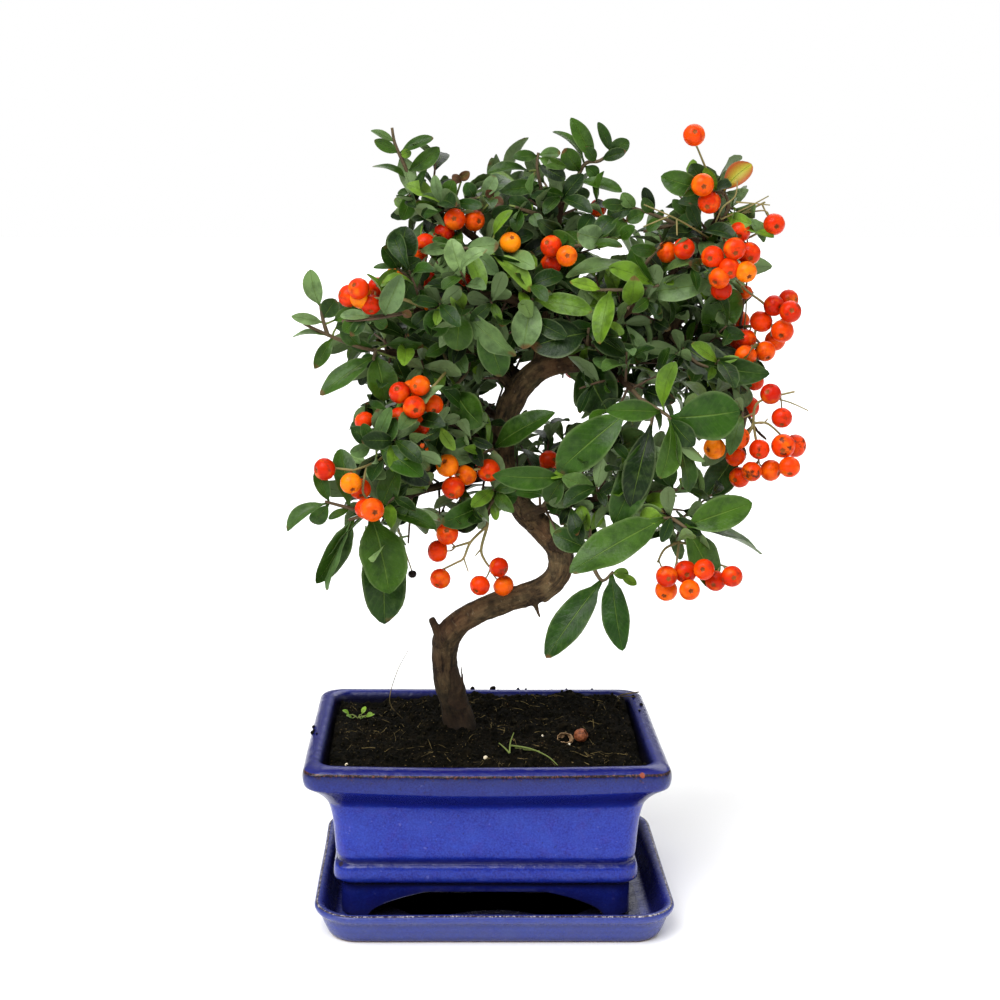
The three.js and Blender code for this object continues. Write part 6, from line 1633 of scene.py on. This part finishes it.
small_leaf_shapes = shapes("small_leaf_shapes", [
    leaf_shape(bend, stations=6, sides=(-1, 0, 1)) for bend in LEAF_BENDS])
inner = Shoot("inner_leaves")
for line in [wood_lines[0][-TRUNK_END:], *wood_lines[1:len(LIMBS) + 1]]:
    stretch = frames_along(line)
    number, next_at = 0, FIRST_TWIG
    while next_at < stretch[-1][0]:
        index = next(k for k, (gone, *_) in enumerate(stretch) if gone >= next_at)
        point, radius = line[index]
        _, along, across, third = stretch[index]
        next_at += TWIG_EVERY
        number += 1
        if point.z < CROWN_FROM:
            continue
        angle = number * GOLDEN_TURN
        outward = across * math.cos(angle) + third * math.sin(angle)
        heading = (along * 0.4 + outward + Vector((0, 0.1, 0.2))).normalized()
        root = point + outward * radius * 0.8
        end = root + heading * draw.uniform(5, 20)
        if not hidden(end):
            continue
        leaves = []
        for k in range(TWIG_LEAVES):
            share = 0.3 + 0.7 * k / (TWIG_LEAVES - 1)
            start, tip, normal = spiral_leaf(
                root, end, share, k * GOLDEN_TURN + number, draw.uniform(9, 18), 0.6)
            if all(hidden(start.lerp(tip, part)) for part in (0.35, 0.7, 1.0)):
                leaves.append((start, tip, normal))
        if leaves:
            inner.twig([root, root.lerp(end, 0.5) + Vector((0, 0, 0.5)), end], 0.6, 0.4, 0.2)
        for start, tip, normal in leaves:
            # Most inner leaves are given the dark tone, which paints shade inside the crown.
            add_leaf(inner, start, start, tip, normal, (tip - start).length * draw.uniform(0.38, 0.5),
                     draw.choice(["d", "d", "", "d", "y", "p"]))
finish_spray("inner_leaves", inner, store=small_leaf_shapes)

# Dried leaves caught in the crown: base x, base z, tip x, tip z, depth, width. Bare twigs: the
# depth is the third number of each point.
DRIED_LEAVES = [
    (6, 181, 16, 181, -10, 5), (-12, 307, -7, 310, -6, 4), (-10, 306, -14, 309, -8, 4),
    (2, 299, 7, 297, -8, 5), (3, 300, 0, 303, -8, 4), (-35, 253, -31, 251, -32, 3.5),
]
BARE_TWIGS = [
    [(-19, 293, -2), (-21, 293, -6), (-16, 295, -10), (-11, 297, -12)],
    [(-30, 253, -26), (-40, 251, -30), (-50, 249.5, -33), (-60, 249, -34)],
    [(22, 163, 0), (20, 160, -6), (18, 161, -8)],
]
dried = Shoot("dried_leaves_and_twigs")
for path in BARE_TWIGS:
    dried.twig([seen(*point) for point in path], 0.55, 0.3)
for x0, z0, x1, z1, y, width in DRIED_LEAVES:
    base, tip = seen(x0, z0, y), seen(x1, z1, y - 2)
    add_leaf(dried, nearest_wood(base), base, tip, EYE - base, width, "b")
finish_spray("dried_leaves_and_twigs", dried)
put_away(small_leaf_shapes)


# What lies on the soil.
# Dead rootlets, sticks and a stalk lie and stand there, a weed seedling and blades of grass
# grow there, and a round seed husk, a torn one, pale grains and crumbs of soil have fallen on
# it and on the rim.

ROOTLETS = 110
draw = random.Random(23)
rootlets = Shoot("dead_rootlets")
for number in range(ROOTLETS):
    x, y = draw.uniform(-58, 60), draw.uniform(-44, 46)
    heading, bend = draw.uniform(0, math.tau), draw.uniform(-0.2, 0.2)
    line = []
    for _ in range(draw.randint(3, 6)):
        if abs(x) < SOIL_HALF - 3 and abs(y) < SOIL_HALF - DEPTH_LESS - 3:
            line.append(on_soil(x, y, draw.uniform(-0.1, 0.7)))
        x, y = x + math.cos(heading) * 2.6, y + math.sin(heading) * 2.6
        heading += bend + draw.uniform(-0.25, 0.25)
    if len(line) > 2:
        rootlets.twig(line, 0.16, 0.08)
# Two dead sticks reach to the rim, and a dry grass stalk stands left of the trunk.
rootlets.twig([on_soil(62.5, 38, 0.2), on_soil(63, 39, 2.5), Vector((72.7, 47, 74.6))], 0.5, 0.35)
rootlets.twig([on_soil(60, 33, 0.2), on_soil(63, 36, 3.2), Vector((70.5, 38, 74.8))], 0.35, 0.2)
rootlets.twig([on_soil(-36, 22, 0), seen(-41, 84, 20), seen(-38, 97, 20), seen(-33, 107, 18)],
              0.28, 0.14)
rooty = Finish("rootlet", (30, 26, 16), Roughness=0.9, Specular_IOR_Level=0.1)
rooty.wash(rooty.patches(5, 0.4, 0.7, 4), (128, 112, 72))
rooty_material = rooty.set()
piece = grown(rootlets.piece(), shoot_tree, {
    "Carried Shapes": leaf_shapes, "Twig Sides": 4, "Twig Step": 0.0018, "Seed": 3,
    "Twig Finish": rooty_material, "Carried Finish": rooty_material})
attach(piece, "root")

UP = Vector((0, 0, 1))
SEEDLING = (-56, 23)
weeds = Shoot("weeds")
root = on_soil(*SEEDLING)
for x, y, height, length, width in (
        (-60, 24, 2.6, 3.4, 2.2), (-58.5, 21.6, 2.0, 3, 2.1), (-54.4, 25, 2.6, 3.4, 2.2),
        (-52.6, 22.4, 1.8, 3.4, 2.2), (-51, 24.5, 1.4, 2.6, 1.6), (-54.6, 20.6, 1.2, 2.4, 1.5)):
    base = on_soil(x, y, height)
    outward = (base - root).normalized()
    weeds.twig([root, root.lerp(base, 0.5) + UP, base], 0.3, 0.22, 0.8)
    add_leaf(weeds, base, base, base + (outward + UP * 0.3) * length, UP + EYE.normalized(),
             width, draw.choice(("y", "Y")))
for blade in ([on_soil(10.4, -21.2, 0), on_soil(10.8, -18, 3.4), on_soil(12.4, -15, 6.4)],
              [on_soil(10.4, -21.2, 0), on_soil(8.4, -19, 2.2), on_soil(6, -17, 3.2)],
              [on_soil(10.7, -14.6, 0.2), on_soil(19, -22, 2.2), on_soil(26, -28, 1.4),
               on_soil(30.1, -31, 0.4)],
              [on_soil(13, -16, 0.2), on_soil(18, -19.5, 1.2), on_soil(23, -23, 0.5)]):
    weeds.twig(blade, 0.42, 0.2, 1.0)
finish_spray("weeds", weeds)
put_away(leaf_shapes)


def husk_mesh(name, reach, opened, seed):
    """A thin papery shell: a lumpy ball this far across in millimetres, open on one side."""
    bm = bmesh.new()
    bmesh.ops.create_uvsphere(bm, u_segments=28, v_segments=18, radius=1.0)
    gone = [face for face in bm.faces if face.calc_center_median().y < -1 + opened]
    bmesh.ops.delete(bm, geom=gone, context="FACES")
    for vert in bm.verts:
        ridge = 0.035 * math.sin(9 * math.atan2(vert.co.z, vert.co.x))
        vert.co *= 1 + 0.1 * noise.noise(vert.co * 1.7 + Vector((seed, 0, 0))) + ridge
        vert.co = Vector((v * r / 2 * MM for v, r in zip(vert.co, reach)))
    bmesh.ops.solidify(bm, geom=bm.faces[:], thickness=0.25 * MM)
    return mesh_from(bm, name)


def papery(name, dark, light):
    """A dry skin in bands of a dark and a light shade."""
    husk = Finish(name, dark, Roughness=0.6, Specular_IOR_Level=0.3)
    bands = husk.cloud(0.9, 4, 0.65)
    husk.wash(husk.rise(bands, 0.35, 0.7), light)
    return husk.set(height=bands, depth=0.15)


for name, reach, opened, (x, y), turn, shades in (
        ("seed_husk", (6.4, 6, 5.8), 0.16, (41.6, -8.2), 1.3, ((82, 38, 18), (160, 92, 54))),
        ("torn_husk", (7.6, 5.4, 4.6), 0.7, (35, -7.7), -0.5, ((116, 84, 54), (190, 158, 118)))):
    mesh = husk_mesh(name, reach, opened, len(name))
    mesh.transform(Matrix.Translation(on_soil(x, y, reach[2] * 0.36) * MM)
                   @ Matrix.Rotation(turn, 4, "Z") @ Matrix.Rotation(-0.5, 4, "X"))
    husk = new_piece(name, mesh)
    husk.data.materials.append(papery(name + "_shell", *shades))
    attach(husk, "root")

# Crumbs and grains: x, y, size across. Those past the soil's edge lie on the rim.
DARK_CRUMBS = [
    (-4, 58, 2.2), (5.6, 57.5, 2.6), (8, 58.5, 1.2), (17.4, 58, 2.0), (21, 57, 1.1), (33, 58.3, 1.3),
    (40, 57, 1), (52, 57.6, 1.2), (-14, 58, 1.2), (-74, -8, 1.8), (-73.6, -5, 1.1), (-74.4, 1.5, 1.6),
    (-72, -12, 0.9), (70, 20, 1.1), (72, 30, 1.5), (69.6, 42, 1.6), (64, -52, 1.4), (60, -46, 2.4),
    (56, -45, 1.8), (61.5, -41, 2.2), (-63.4, -17.8, 2.2), (25.6, -0.4, 2.6), (48, 20, 3), (30, 30, 3.2),
    (-40, 30, 2.6), (-28, -10, 2.8), (14, 14, 2.4), (52, -4, 2.6), (-48, -30, 2.4), (0, 36, 2.8),
]
PALE_GRAINS = [(0.1, -26.5, 2.0), (-32.2, 44.4, 1.4), (62.9, 42.7, 1.3), (25.4, -2, 1.1),
               (-58, -34, 1.5), (36.5, -10, 1.2)]
pot_surface = BVHTree.FromObject(pot, bpy.context.evaluated_depsgraph_get())


def where_it_lies(x, y):
    """The highest surface of the pot or its soil at x and y, in millimetres."""
    hit = pot_surface.ray_cast(Vector((x, y, FROM_ABOVE)) * MM, Vector((0, 0, -1)))[0]
    return max(on_soil(x, y).z, hit.z / MM if hit else 0.0)


draw = random.Random(8)
for name, grains, finish in (
        ("fallen_crumbs", DARK_CRUMBS, potting_soil("fallen_crumb", 12)),
        ("pale_grains", PALE_GRAINS, papery("pale_grain", (190, 170, 130), (250, 244, 226)))):
    bm = bmesh.new()
    for x, y, size in grains:
        place = Vector((x, y, where_it_lies(x, y) + size * 0.28))
        first = len(bm.verts)
        bmesh.ops.create_icosphere(bm, subdivisions=2, radius=size / 2 * MM)
        bm.verts.ensure_lookup_table()
        for vert in bm.verts[first:]:
            bump = noise.noise(vert.co / (size * MM) * 2.4 + Vector((x, y, 0)))
            vert.co = vert.co * (1 + 0.55 * bump) * draw.uniform(0.93, 1.07) + place * MM
    fallen = new_piece(name, mesh_from(bm, name))
    fallen.data.materials.append(finish)
    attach(fallen, "root")


# Floor, light and the photograph's view.
# The pot stands on a plain white surface in soft studio light: one main light from the upper
# left in front, weak ones from the left and the right, one from behind, and little light from
# all round.

floor_mesh = bpy.data.meshes.new("floor")
floor_mesh.from_pydata([(-6, -6, 0), (6, -6, 0), (6, 12, 0), (-6, 12, 0)], [], [(0, 1, 2, 3)])
floor = new_piece("floor", floor_mesh, smooth=False)
white = Finish("white_paper", (241, 241, 241), Roughness=0.9, Specular_IOR_Level=0.1)
white.wash(white.cloud(600), (245, 245, 245))
floor.data.materials.append(white.set())

# The backdrop is pure white, and lights the object less than it shows: dim from the sides and
# brighter from above.
world = bpy.data.worlds.new("studio")
world.use_nodes = True
air = NodeWork(world.node_tree)
backdrop = world.node_tree.nodes["Background"]
backdrop.inputs["Color"].default_value = (1, 1, 1, 1)
looked_at = air.put("ShaderNodeLightPath").outputs["Is Camera Ray"]
upwards = air.put("ShaderNodeTexCoord").outputs["Generated"]
upwards = air.put("ShaderNodeSeparateXYZ", {0: upwards}).outputs[2]
sky = air.put("ShaderNodeMapRange", {"Value": upwards, "From Min": 0.0, "From Max": 1.0,
                                     "To Min": 0.08, "To Max": 0.9}).outputs["Result"]
strength = air.put("ShaderNodeMix", {0: looked_at, 2: sky, 3: 1.0})
world.node_tree.links.new(strength.outputs[0], backdrop.inputs["Strength"])
bpy.context.scene.world = world


def light(name, came_from, strength, softness):
    """An even light that comes from this direction, and seems this many degrees wide."""
    sun = bpy.data.lights.new(name, "SUN")
    sun.energy = strength
    sun.angle = math.radians(softness)
    holder = bpy.data.objects.new(name, sun)
    holder.rotation_euler = (-Vector(came_from)).to_track_quat("-Z", "Y").to_euler()
    bpy.context.scene.collection.objects.link(holder)


light("main_light", (-0.7, -1.0, 1.35), 3.3, 42)
light("left_window", (-1.3, -0.7, 0.8), 0.4, 9)
light("right_light", (1.2, -0.8, 0.7), 0.5, 50)
light("back_light", (0.5, 1.2, 1.4), 1.3, 50)

camera_data = bpy.data.cameras.new("camera")
camera_data.sensor_width = 36
camera_data.lens = 61.2
camera_data.shift_x = 0.0573
camera = bpy.data.objects.new("camera", camera_data)
camera.location = (-0.01798, -0.7118, 0.300)
camera.rotation_euler = (math.radians(79.9), 0, 0)
bpy.context.scene.collection.objects.link(camera)
bpy.context.scene.camera = camera
bpy.context.scene.view_settings.view_transform = "Standard"
